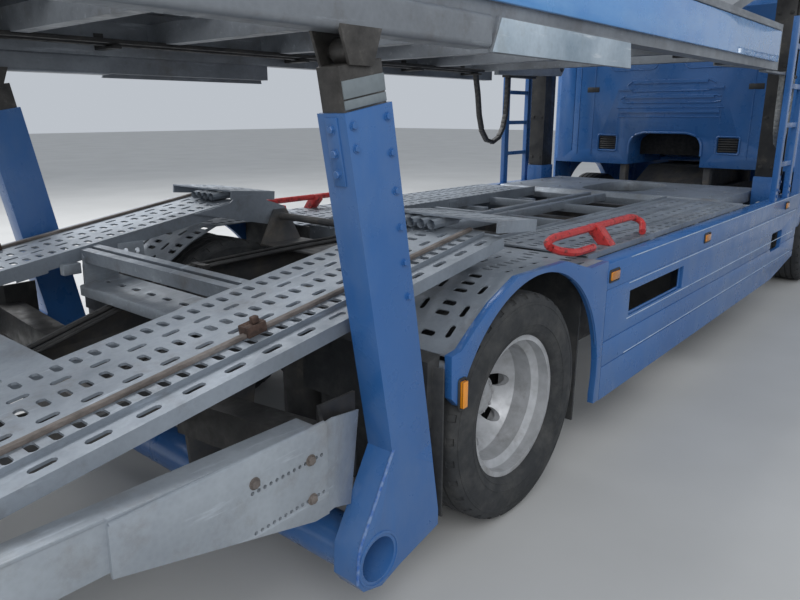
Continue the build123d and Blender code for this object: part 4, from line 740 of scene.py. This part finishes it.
for pieces, name, coat in ((ribs, "track_ribs", rust), (blocks, "stop_blocks", burnt)):
    hang(lay(join(pieces), slope, platform_place), name, coat, "rear_platform", "galvanised")
ends = []
for hand, name, turn in outward:
    for n in range(4):
        end = tube(side_view(hand * (0.68 + 0.055 * n), (-0.075, 1.192), (0.10, 1.196)), 0.021)
        dish(end, lambda face: face.normal.x < -0.9, 0.005, -0.03)
        ends.append(end)
hang(join(ends), "flap_tubes", zinc, "rear_platform", "galvanised")


# Rear side rails: galvanised channels with a cranked plate bolted to the outside of each, which
# has two rows of adjusting holes and a lip folded over along its top. Its front wing is folded
# inwards round the post's foot, and ahead of it the channel is painted black as shade.
def shade_inner(obj, material, test):
    """Give the faces whose place passes a test a second material."""
    obj.data.materials.append(material)
    pick(obj, lambda face: test(face.center), "FACE")
    obj.active_material_index = len(obj.data.materials) - 1
    bpy.ops.object.material_slot_assign()
    leave_edit()


rails = rounded("rear_rails", 0.002)
hole_step = 0.243 / 12
hole_lift = 0.014 / 12
row_starts = ((-1.342, 0.686), (-1.338, 0.568))
hole_places = [(x + n * hole_step, z + n * hole_lift) for x, z in row_starts for n in range(13)]
adjusting_holes = []
for hand, name, turn in outward:
    adjusting_holes += side_view(hand * (side - 0.020), *hole_places)
drill(rails, adjusting_holes, 0.0060, 0.04, 12)
hang(rails, "adjusting_plates", plate_zinc, "chassis", "galvanised", "rear_rails")
# Painted shade: the channel's faces ahead of the wing take the chassis black, standing in for the shadow
# there.
shade_inner(rails, black, lambda place: place.x > rear - 1.088 and abs(place.y) < side - 0.0255)
wings = []
heads = []
for hand, name, turn in outward:
    heads += copies(bolt(0.013, 0.011, turn),
                    side_view(hand * (side - 0.0155), (-1.140, 0.700), (-1.138, 0.578), (-1.334, 0.712)))
    wing = slab([(rear - 1.078, hand * (side - inset), z)
                 for inset, z in ((0.0245, 0.502), (0.0245, 0.791), (0.0205, 0.791), (0.0205, 0.502))],
                (0.035, -hand * 0.006, 0), (0.125, -hand * 0.0565, 0))
    pick(wing, lambda co: co.x > rear - 0.98 and co.z > 0.6)
    bpy.ops.transform.translate(value=(0.066, -hand * 0.023, -0.061))
    leave_edit()
    pick(wing, lambda co: co.x > rear - 0.98 and co.z < 0.6)
    bpy.ops.transform.translate(value=(0, 0, -0.067))
    leave_edit()
    wings += [wing, tube(side_view(hand * (side - 0.022), (-1.718, 0.776), (-1.08, 0.790)), 0.007),
              plate(hand, (-2.56, -1.72), (side - 0.030, side - 0.022), (0.785, 0.795))]
hang(join(wings), "plate_wings", plate_zinc, "chassis", "galvanised")
hang(join(heads), "plate_bolts", rust, "chassis", "galvanised")

# Rear posts: blue box posts that lean back and stand on a cross tube, with a bolted guide strip
# on the rear face and weld beads round the foot. The greased rams slide inside them.
lean = radians(10)
post_foot = (rear - 0.706, 0, 0.540)
hang(rounded("rear_posts", 0.007, 3), "posts_painted", blue, "rear_posts", "blue_paint", "rear_posts")
cheek_bolts = [(0.068, z) for z in (0.55, 0.66, 0.77, 0.88, 0.99, 1.09)] + [(-0.07, 1.03), (-0.07, 1.09)]
strips = []
for hand, name, turn in outward:
    strips.append(bar((-0.100, hand * (side - 0.030), 0.93), (-0.0935, hand * (side - 0.075), 1.115)))
    strips += copies(bolt(0.011, 0.010, rearward),
                     [(-0.100, hand * (side - 0.052), z) for z in (0.965, 1.02, 1.085)])
    strips += copies(bolt(0.010, 0.009, turn), [(x, hand * side, z) for x, z in cheek_bolts])
hang(lay(join(strips), lean, post_foot), "post_strips", blue, "rear_posts", "blue_paint")
weld, tree, shader = new_material("weld_bead_blue", 0.4)
finish(tree, shader, ramp(tree, noise(tree, 60, 6), (0.35, (0.03, 0.12, 0.40)), (0.7, (0.22, 0.32, 0.50))),
       relief=(200, 3, 0.5, 0.002))
cross_tube = (rear - 0.880, 0, 0.250)
foot_back = ((-0.806, 0.606), (-0.972, 0.318), (-0.978, 0.209))
foot_notch = ((-0.715, 0.543), (-0.6137, 0.561), (-0.6005, 0.478))
bead_section = ((-0.006, 0.0845), (0.004, 0.0865), (0.003, 0.094), (-0.006, 0.096))
seams = []
corners = []
beads = []
for hand, name, turn in outward:
    seams.append(tube(side_view(hand * (side - 0.001), *foot_back), 0.0055, 0.03))
    seams.append(tube([(rear - 0.800, hand * y, 0.607) for y in (side - 0.104, side - 0.001)], 0.005))
    bead = ring([(hand * (side + out), radius) for out, radius in bead_section], 40)
    beads.append(lay(bead, 0, cross_tube))
for hand, name, turn in outward:
    corners.append(slab(side_view(hand * (side - 0.1045), *foot_notch), (0, hand * 0.104, 0)))
hang(join(seams), "foot_welds", weld, "rear_posts", "blue_paint")
hang(join(corners), "foot_corners", blue, "rear_posts", "blue_paint")
hang(join(beads), "tube_welds", blue, "rear_posts", "blue_paint")
greased, tree, shader = new_material("ram_greased_dark", 0.42, 0.3)
grease = ramp(tree, noise(tree, 8, 9, 0.7), (0.35, (0.030, 0.028, 0.026)), (0.55, (0.075, 0.07, 0.065)),
              (0.75, (0.24, 0.22, 0.20)))
finish(tree, shader, grease, relief=(60, 4, 0.3, 0.002))
hang(rounded("post_rams", 0.004), "ram_sections", greased, "post_rams", "galvanised", "post_rams")
wiped = streaked_zinc("ram_wiped_steel", (0.30, 0.34, 0.36), (0.17, 0.20, 0.215), (0.13, 0.12, 0.11))
covers = []
for hand, name, turn in outward:
    for low, high, inset in ((1.130, 1.154, 0.0065), (1.158, 1.204, 0.0060)):
        covers.append(bar((-0.082, hand * (side - 0.0110), low),
                          (0.0815, hand * (side - inset), high), 0.0015))
hang(lay(join(covers), lean, post_foot), "ram_covers", wiped, "post_rams", "galvanised")

# Upper deck: box beams along both sides joined by a bevelled splice, cross-members, blue panels
# outside and perforated tracks that climb at the front. It is welded, then galvanised.
deck_zinc = streaked_zinc("zinc_dull", (0.30, 0.325, 0.355), (0.18, 0.193, 0.21), (0.125, 0.105, 0.088))
upper_top = 2.165
upper_rows = [(0.575 + 0.090 * n, n % 2 == 0, 0.0) for n in range(6)]
ramp_start = 2.2
ramp_run = 1.2
ramp_slope = radians(17)
upper = merged("upper_tracks")
cut(upper, punch_deck(-2.56, ramp_start - 0.03, upper_rows, (rear, 0, upper_top)))
cut(upper, punch_deck(0.04, ramp_run / cos(ramp_slope) - 0.04, upper_rows, (rear + ramp_start, 0, upper_top),
                      ramp_slope))
hang(upper, "upper_track_plates", deck_zinc, "upper_deck", "galvanised", "upper_tracks")
beams = rounded("upper_frame", 0.005, 3)
hang(beams, "upper_beams", deck_zinc, "upper_deck", "galvanised", "upper_frame")
shade_inner(beams, greased, lambda place: place.z < 1.834 and abs(place.x - rear + 0.927) < 0.13)
# Painted highlight: the splice faces are far paler and bluer than the beams' zinc, standing in for light on
# them.
splice_glare_zinc = streaked_zinc("zinc_splice_glare", (0.66, 0.75, 0.82), (0.27, 0.35, 0.42), (0.30, 0.32, 0.30))
splice_points = ((-0.318, 1.824), (0.778, 1.823), (0.758, 1.926), (-0.270, 1.932))
splices = [slab(side_view(hand * (side + 0.0005), *splice_points), (0, hand * 0.004, 0), edge=0.0015)
           for hand, name, turn in outward]
hang(join(splices), "splice_faces", splice_glare_zinc, "upper_deck", "galvanised")
# Painted glare: the upper panels' outer faces get a much lighter blue than the same paint elsewhere, with
# pale sky-blue patches as a painted reflection.
glare_blue, tree, shader = new_material("blue_painted_glare", 0.22)
paint = ramp(tree, noise(tree, 1.1, 6), (0.3, (0.050, 0.225, 0.580)), (0.7, (0.085, 0.330, 0.740)))
sky_reflection = ramp(tree, noise(tree, 2.4, 10, 0.7, (0.5, 1, 2)), (0.45, 0.0), (0.80, 0.45))
finish(tree, shader, mix(tree, sky_reflection, paint, (0.32, 0.58, 0.84)), (9, 6, 0.16, 0.34), (200, 2, 0.05, 0.0005))
shader.inputs["Coat Weight"].default_value = 0.5
panels = rounded("upper_panels", 0.004)
hang(panels, "upper_side_panels", glare_blue, "upper_deck", "blue_paint", "upper_panels")
# The inner faces keep the plain blue, so the lighter outer faces are a lit copy of the same paint.
shade_inner(panels, blue, lambda place: abs(place.y) < side - 0.018)


def tie_loop(x, y, foot, top):
    """Bent rod that straps are hooked into, on top of a deck's side."""
    return tube(side_view(y, (x, foot), (x, top), (x + 0.11, top), (x + 0.11, foot)), 0.009, 0.02)


fittings = []
for hand, name, turn in outward:
    fittings.append(plate(hand, (-2.55, 3.25), (side - 0.012, side + 0.004), (2.183, 2.20), 0.004))
    fittings += [tie_loop(x, hand * 1.14, 2.235, 2.275) for x in (-2.0, -0.9, 0.2, 1.3, 2.4)]
hang(join(fittings), "upper_fittings", deck_zinc, "upper_deck", "galvanised")
under = []
for hand, name, turn in outward:
    for y, z, radius in ((1.085, 1.975, 0.016), (1.045, 1.985, 0.010), (1.015, 1.98, 0.012)):
        under.append(tube([*side_view(hand * y, (-2.3, z), (-1.2, z)),
                           *side_view(hand * (y - 0.03), (-0.9, z + 0.01), (3.0, z + 0.01))], radius, 0.05))
    for x in (-2.3, -1.5, -0.4, 0.9, 2.1, 2.9):
        under += [plate(hand, (x, x + 0.05), (0.97, 1.155), (1.955, 1.968), 0.002),
                  plate(hand, (x, x + 0.05), (1.150, 1.162), (1.955, 2.04), 0.002)]
hang(join(under), "deck_lines", black, "upper_deck", "chassis_black")

# Masts and ladders: black box masts on blue bases carry the front end of the upper deck, with
# lifting chains in their guides. The ladders are blue stiles and rungs ahead of the panels.
mast_black, tree, shader = new_material("mast_black_greasy", 0.4)
grease = ramp(tree, noise(tree, 7, 9, 0.7), (0.35, (0.014, 0.014, 0.015)), (0.60, (0.035, 0.034, 0.032)),
              (0.80, (0.12, 0.105, 0.085)))
finish(tree, shader, grease, (30, 4, 0.28, 0.6), (90, 3, 0.15, 0.001))
hang(rounded("front_masts", 0.005), "mast_boxes", mast_black, "chassis", "mast_black", "front_masts")
hang(rounded("mast_bases", 0.005), "mast_feet", blue, "chassis", "blue_paint", "mast_bases")
hang(rounded("ladders", 0.004), "ladder_frames", blue, "chassis", "blue_paint", "ladders")
mast_x = 4.25
guides = []
for hand, name, turn in outward:
    for x in (mast_x - 0.075, mast_x + 0.060):
        guides.append(plate(hand, (x, x + 0.014), (1.161, 1.181), (1.13, 2.60)))
    for n in range(46):
        half = 0.012 + 0.006 * (n % 2)
        z = 1.16 + 0.030 * n
        guides.append(plate(hand, (mast_x - half, mast_x + half), (1.163, 1.176), (z, z + 0.026)))
    guide_bolts = [(rear + mast_x - 0.1, hand * y, z) for y in (1.04, 1.13) for z in (1.20, 1.60, 2.0, 2.4)]
    guides += copies(bolt(0.012, 0.010, rearward), guide_bolts)
hang(join(guides), "mast_guides", mast_black, "chassis", "mast_black")
base_bolts = [(mast_x + x, z) for x in (-0.09, 0.09) for z in (0.99, 1.07)]
stile_bolts = [(mast_x + x, z) for x in (-0.44, -0.025) for z in (1.0, 1.05)]
bolts = []
for hand, name, turn in outward:
    bolts += copies(bolt(0.012, 0.010, turn), side_view(hand * 1.168, *base_bolts))
    bolts += copies(bolt(0.010, 0.009, turn), side_view(hand * 1.269, *stile_bolts))
hang(join(bolts), "mast_bolts", blue, "chassis", "blue_paint")


# Drag chains: jointed black plastic links that carry the hoses from the chassis up to the upper
# deck in a hanging loop. One end is screwed to the deck's beam, the other to the mast.
def link_material(name, roughness, dark, light):
    material, tree, shader = new_material(name, roughness)
    moulded = ramp(tree, noise(tree, 40, 6), (0.35, dark), (0.7, light))
    finish(tree, shader, moulded, relief=(200, 3, 0.2, 0.001))
    return material


def along(points, step):
    """Places and headings at even steps along a bent line in the side view."""
    places = []
    left = 0.0
    for (x0, z0), (x1, z1) in zip(points, points[1:]):
        run = hypot(x1 - x0, z1 - z0)
        heading = atan((z1 - z0) / (x1 - x0)) if abs(x1 - x0) > 1e-6 else pi / 2
        while left < run:
            places.append((x0 + (x1 - x0) * left / run, z0 + (z1 - z0) * left / run, heading))
            left += step
        left -= run
    return places


clean_plastic = link_material("chain_plastic", 0.5, (0.016, 0.016, 0.017), (0.05, 0.048, 0.045))
dusty_plastic = link_material("chain_plastic_dusty", 0.6, (0.12, 0.125, 0.125), (0.24, 0.25, 0.25))
link_pitch = 0.045
left_loop = ((3.02, 1.955), (3.06, 1.80), (3.09, 1.62), (3.14, 1.48), (3.22, 1.395), (3.32, 1.375),
             (3.42, 1.415), (3.49, 1.50), (3.53, 1.62), (3.545, 1.80), (3.55, 1.98))
right_loop = ((3.80, 1.915), (3.815, 1.77), (3.82, 1.60), (3.84, 1.49), (3.895, 1.41), (3.97, 1.385),
              (4.04, 1.42), (4.085, 1.50), (4.115, 1.62), (4.12, 1.76), (4.105, 1.905))
chains = (("left", 1.08, left_loop, clean_plastic), ("right", -1.20, right_loop, dusty_plastic))
for name, y, loop, plastic in chains:
    links = []
    for x, z, heading in along(loop, link_pitch):
        link = bar((-0.024, y - 0.022, -0.016), (0.024, y + 0.022, 0.016), 0.004)
        dish(link, lambda face: abs(face.normal.y) > 0.9, 0.006, -0.004)
        links.append(lay(link, heading, (rear + x, 0, z)))
    chain = join(links)
    smooth(chain)
    chain.name = f"drag_chain_{name}"
    chain.data.name = chain.name
    chain.data.materials.append(plastic)
    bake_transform(chain)
brackets = [plate(1, (3.51, 4.00), (1.04, 1.12), (1.96, 1.985)),
            plate(-1, (4.075, 4.165), (1.14, 1.225), (1.900, 1.925))]
hang(join(brackets), "chain_brackets", mast_black, "chassis", "mast_black")
arm = plate(-1, (3.22, 3.83), (1.175, 1.225), (1.914, 1.9295))
hang(arm, "chain_arm", deck_zinc, "upper_deck", "galvanised")

# Deck above the cab: two perforated tracks on cross-members between box beams, hinged on the
# heads of the masts, with loading stops at the tip. Galvanised like the other decks.
front_deck = merged("front_deck")
bend_x = mast_x + 0.25
bend_z = 2.96
bend_place = (rear + bend_x, 0, bend_z)
ramp_end = 0.94
tip_end = 2.42
tip_slope = radians(2)
cut(front_deck, punch_deck(0.03 - ramp_end / cos(ramp_slope), -0.03, upper_rows, bend_place, ramp_slope))
cut(front_deck, punch_deck(0.03, tip_end, upper_rows, bend_place, tip_slope))
hang(front_deck, "front_deck_plates", deck_zinc, "front_deck", "galvanised", "front_deck")
loops = []
for hand, name, turn in outward:
    for x in (0.4, 1.2, 2.0):
        z = bend_z + x * tan(tip_slope) + 0.03
        loops.append(tie_loop(bend_x + x, hand * 1.2, z - 0.005, z + 0.04))
hang(join(loops), "front_deck_loops", deck_zinc, "front_deck", "galvanised")


# Cab: pressed and welded sheet steel in the same blue, with pressed ribs across its back wall,
# rubber seals round the windows and folded seams. It rests on four mounts and is hollow.
def box_round(half_width, half_height):
    """Corners of an upright rectangle about its middle."""
    return ((-half_width, -half_height), (half_width, -half_height), (half_width, half_height),
            (-half_width, half_height))


cab_back = rear + 4.75
cab_half = side - 0.035
hang(rounded("cab_shell", 0.004), "cab_body", blue, "chassis", "cab_paint", "cab_shell")
hang(rounded("bumper", 0.008, 3), "bumper_painted", blue, "chassis", "cab_paint", "bumper")


def on_back(*points, proud=0.001):
    """Points on the cab's back wall, across and in height, a little proud of it."""
    return [(cab_back - proud, y, z) for y, z in points]


presses = []
for low, high, reach in ((1.845, 1.945, 0.43), (1.735, 1.805, 0.49)):
    middle = (low + high) / 2
    chamfered = on_back((-reach, middle - 0.02), (0.06 - reach, low), (reach - 0.06, low), (reach, middle),
                        (reach - 0.06, high), (0.06 - reach, high), (-reach, middle + 0.02))
    presses.append(tube(chamfered, 0.008, 0.02))
for z, reach in ((1.69, 0.52), (1.60, 0.50)):
    presses.append(tube(on_back((-reach, z), (reach, z)), 0.006))
arch = [(0.360, 1.235), (0.360, 1.385), (0.255, 1.452), (-0.255, 1.452), (-0.360, 1.385), (-0.360, 1.235)]
presses.append(tube(on_back(*arch, proud=0.004), 0.012, 0.07))
vent_y = 0.595
for hand, name, turn in outward:
    for y in (0.93, 0.77):
        presses.append(tube(on_back((hand * y, 1.22), (hand * y, 2.42)), 0.005))
    vent = [(hand * (vent_y + a), 1.342 + b) for a, b in box_round(0.105, 0.08)]
    panel = [(hand * (0.375 + a), 2.24 + b) for a, b in box_round(0.245, 0.19)]
    presses.append(tube(on_back(*vent, proud=0.002), 0.007, 0.02, True))
    presses.append(tube(on_back(*panel), 0.006, 0.06, True))
hang(join(presses), "cab_pressings", blue, "chassis", "cab_paint")
dark_plastic, tree, shader = new_material("plastic_black", 0.5)
finish(tree, shader, ramp(tree, noise(tree, 12, 6), (0.35, (0.013, 0.013, 0.014)), (0.7, (0.04, 0.04, 0.04))),
       (30, 3, 0.42, 0.6), (300, 2, 0.15, 0.0006))
louvres = []
for hand, name, turn in outward:
    for n in range(6):
        slat = bar((-0.007, hand * vent_y - 0.088, -0.009), (0.007, hand * vent_y + 0.088, 0.009), 0.002)
        louvres.append(lay(slat, radians(-40), (cab_back + 0.012, 0, 1.287 + 0.022 * n)))
    louvres.append(bar((cab_back - 0.006, hand * 0.72, 1.845), (cab_back + 0.004, hand * 0.85, 1.895), 0.004))
hang(join(louvres), "cab_vents", dark_plastic, "chassis", "grille_black")
liner, tree, shader = new_material("sound_liner", 0.9)
fibres = ramp(tree, noise(tree, 30, 8), (0.35, (0.012, 0.012, 0.013)), (0.7, (0.035, 0.034, 0.033)))
finish(tree, shader, fibres, relief=(110, 4, 0.5, 0.004))
blanket = slab([(cab_back + 0.30, y * 0.99, z - 0.012) for y, z in arch], (0.02, 0, 0), edge=0.004)
hang(blanket, "tunnel_liner", liner, "chassis", "grille_black")

# Doors: hung on two knuckles each, with a rubber seal round the glass, a moulded handle in a
# dished recess and a rubbing strip along the foot.
window = ((0.10, 1.76), (0.10, 2.34), (0.76, 2.35), (1.00, 1.96), (1.04, 1.76))
lever_path = ((0.085, 0.002, 1.530), (0.095, 0.028, 1.532), (0.215, 0.028, 1.536), (0.225, 0.002, 1.537))
for hand, name, turn in outward:
    body = f"door_{name}"
    hang(rounded(body, 0.004), f"door_painted_{name}", blue, body, "cab_paint", body)
    seal = tube([(front + x, hand * (cab_half + 0.001), z) for x, z in window], 0.013, 0.035, True)
    lever = tube([(front + x, hand * (cab_half + out), z) for x, out, z in lever_path], 0.011, 0.012)
    cup = bar((front + 0.060, hand * (cab_half - 0.004), 1.490),
              (front + 0.250, hand * (cab_half + 0.006), 1.580), 0.004)
    dish(cup, lambda face: face.normal.y * hand > 0.9, 0.012, -0.006)
    strip = bar((front + 0.02, hand * (cab_half - 0.003), 1.20),
                (front + 1.13, hand * (cab_half + 0.008), 1.235), 0.004)
    hang(join([seal, lever, cup, strip]), f"door_trim_{name}", dark_plastic, body, "grille_black")

# Glass: laminated windscreen and tempered side panes, faintly green, set in rubber. The wipers
# park along the foot of the windscreen on sprung arms.
pane, tree, shader = new_material("glass_tinted", 0.04)
shader.inputs["Transmission Weight"].default_value = 0.9
shader.inputs["IOR"].default_value = 1.45
finish(tree, shader, ramp(tree, noise(tree, 2), (0.3, (0.42, 0.50, 0.50)), (0.7, (0.50, 0.57, 0.57))))
tree.links.new(ramp(tree, noise(tree, 8, 5), (0.4, 0.02), (0.8, 0.10)), shader.inputs["Roughness"])
for node in ("windscreen", "door_glass_left", "door_glass_right"):
    recoat(node, pane)


def on_screen(y, z, proud):
    """Point on the windscreen's slope, proud of the paint."""
    return (front + screen_x - screen_lean * (z - screen_foot) + proud, y, z)


screen_x = 1.29
screen_foot = 1.72
screen_lean = 0.39 / 0.84
screen_edge = [on_screen(y, 2.12 + up, -0.002) for y, up in box_round(cab_half - 0.170, 0.358)]
wiper_arm = ((0, 1.715, 0.004), (0, 1.72, 0.035), (0.30, 1.80, 0.040), (0.52, 1.90, 0.026))
wiper_blade = ((0.10, 1.80, 0.016), (0.84, 1.90, 0.016))
wipers = [tube(screen_edge, 0.016, 0.07, True)]
for pivot in (-0.75, 0.10):
    for path, radius, corner in ((wiper_arm, 0.008, 0.02), (wiper_blade, 0.009, 0.0)):
        wipers.append(tube([on_screen(pivot + y, z, proud) for y, z, proud in path], radius, corner))
hang(join(wipers), "screen_seal_and_wipers", dark_plastic, "chassis", "grille_black")

# Front of the cab: slatted grille of black plastic before a mesh, lamps with ribbed lenses in
# bezels, a plain plate holder, and steps with punched treads below the doors.
hang(rounded("grille", 0.006, 3), "grille_slats", dark_plastic, "chassis", "grille_black", "grille")
lamp_y = cab_half - 0.23
lamp_z = 0.76
fronts = []
for y in [-0.78 + 0.12 * n for n in range(14)]:
    fronts.append(bar((front + 1.366, y - 0.006, 0.69), (front + 1.378, y + 0.006, 1.19), 0.002))
fronts.append(bar((front + 1.362, -0.82, 0.68), (front + 1.371, 0.82, 1.20), 0.003))
fronts.append(bar((front + 1.391, -0.27, 0.385), (front + 1.402, 0.27, 0.505), 0.003))
for hand, name, turn in outward:
    fronts.append(tube([(front + 1.372, hand * lamp_y + a, lamp_z + b) for a, b in box_round(0.155, 0.12)],
                       0.014, 0.04, True))
    for z in (0.372, 0.545):
        fronts.append(bar((front + 0.80, hand * (cab_half - 0.09), z),
                          (front + 1.17, hand * (cab_half + 0.004), z + 0.022), 0.004))
        for x in [0.82 + 0.038 * n for n in range(9)]:
            fronts.append(bar((front + x, hand * (cab_half - 0.06), z + 0.020),
                              (front + x + 0.018, hand * (cab_half - 0.01), z + 0.028), 0.002))
hang(join(fronts), "front_trim", dark_plastic, "chassis", "grille_black")


# Lamps: clear, amber and red lenses of ribbed plastic, screwed into black bezels. The headlamps
# show two silvered bowls each, and the tail lamps stand on the tail beam's carriers.
def ribbed(name, colour):
    """Coloured lamp plastic with fine ribs inside it."""
    material, tree, shader = new_material(name, 0.14)
    ribs = tree.nodes.new("ShaderNodeTexWave")
    ribs.bands_direction = "Y"
    ribs.inputs["Scale"].default_value = 30
    place = tree.nodes.new("ShaderNodeTexCoord")
    tree.links.new(place.outputs["Object"], ribs.inputs["Vector"])
    shaded = tuple(0.55 * c for c in colour)
    finish(tree, shader, ramp(tree, ribs.outputs["Fac"], (0.2, shaded), (0.8, colour)))
    shader.inputs["Coat Weight"].default_value = 0.6
    grain(tree, shader, ribs.outputs["Fac"], 0.3, 0.002)
    return material


clear = ribbed("lamp_clear", (0.78, 0.80, 0.82))
amber = ribbed("lamp_amber", (0.86, 0.30, 0.015))
ruby = ribbed("lamp_red", (0.55, 0.02, 0.02))
hang(rounded("headlamps", 0.006, 3), "headlamp_lenses", clear, "chassis", "lamp_glass", "headlamps")
hang(rounded("side_lamps", 0.004), "marker_lamps", amber, "chassis", "amber_lens", "side_lamps")
hang(rounded("tail_lamps", 0.003), "tail_lamp_lenses", ruby, "chassis", "red_lens", "tail_lamps")
bowl_section = [(0.0, 0.020), (0.004, 0.045), (0.010, 0.060), (0.013, 0.066), (0.009, 0.068), (-0.004, 0.050)]
bowls = []
for hand, name, turn in outward:
    for y in (0.075, -0.075):
        bowl = ring(bowl_section, 28)
        bowl.rotation_euler = (0, 0, -pi / 2)
        bowl.location = (front + 1.388, hand * lamp_y + y, lamp_z)
        settle(bowl)
        bowls.append(bowl)
hang(join(bowls), "lamp_bowls", silver, "chassis", "lamp_glass")
marker_bezels = [(x, 0.8935, 0.052, 0.027, 0.008) for x in (0.790, 2.147, 4.20)]
wing_bezel = (-0.440, 0.680, 0.021, 0.057, 0.010)
bezels = []
for hand, name, turn in outward:
    for x, z, half, tall, corner in (*marker_bezels, wing_bezel):
        rim = [(x + a, z + b) for a, b in box_round(half, tall)]
        bezels.append(tube(side_view(hand * (side + 0.002), *rim), 0.005, corner, True))
    bezels.append(tube([(rear - 2.642, hand * 1.0 + a, 0.545 + b) for a, b in box_round(0.205, 0.065)],
                       0.007, 0.012, True))
    for y in (hand * 0.93, hand * 1.07):
        bezels.append(plate(1, (-2.6535, -2.638), (y - 0.003, y + 0.003), (0.485, 0.605), 0.001))
hang(join(bezels), "lamp_bezels", dark_plastic, "chassis", "grille_black")

# Mirrors: moulded black housings on tube arms, bolted to the cab's front corners. Each has a
# large silvered glass above a wide-angle one.
hang(rounded("mirrors", 0.006, 3), "mirror_housings", dark_plastic, "chassis", "grille_black", "mirrors")
mirror_glass, tree, shader = new_material("mirror_silvered", 0.03, 1.0)
finish(tree, shader, ramp(tree, noise(tree, 6, 4), (0.3, (0.74, 0.77, 0.79)), (0.7, (0.80, 0.83, 0.85))))
glasses = []
for hand, name, turn in outward:
    y = hand * (cab_half + 0.145)
    for low, high in ((1.86, 2.17), (1.67, 1.835)):
        glasses.append(bar((front + 1.171, y - 0.078, low), (front + 1.177, y + 0.078, high), 0.003))
hang(join(glasses), "mirror_glasses", mirror_glass, "chassis", "glass")

# Inside of the cab: sprung seats, bunk and dashboard with dark woven covers and moulded trim,
# bolted to the cab's floor.
cloth, tree, shader = new_material("cab_cloth", 0.9)
weave = tree.nodes.new("ShaderNodeTexWave")
weave.inputs["Scale"].default_value = 180
weave.inputs["Distortion"].default_value = 2
place = tree.nodes.new("ShaderNodeTexCoord")
tree.links.new(place.outputs["Object"], weave.inputs["Vector"])
finish(tree, shader, ramp(tree, weave.outputs["Fac"], (0.2, (0.05, 0.05, 0.055)), (0.8, (0.10, 0.10, 0.11))))
grain(tree, shader, weave.outputs["Fac"], 0.3, 0.001)
hang(rounded("cab_interior", 0.015, 3), "cab_furniture", cloth, "chassis", "interior_cloth", "cab_interior")

# Tail: galvanised under-run beam with its lamp carriers, a plain plate between the lamps and
# the bolted drawbar jaw.
hang(rounded("tail_bar", 0.004), "tail_beam", zinc, "chassis", "galvanised", "tail_bar")
jaw_bolts = [(rear - 2.64, y, z) for y in (0.30, 0.36, -0.30, -0.36) for z in (0.50, 0.59)]
tail = copies(bolt(0.012, 0.010, rearward), jaw_bolts)
tail.append(plate(1, (-2.648, -2.639), (-0.27, 0.27), (0.487, 0.603)))
hang(join(tail), "tail_plate", zinc, "chassis", "galvanised")
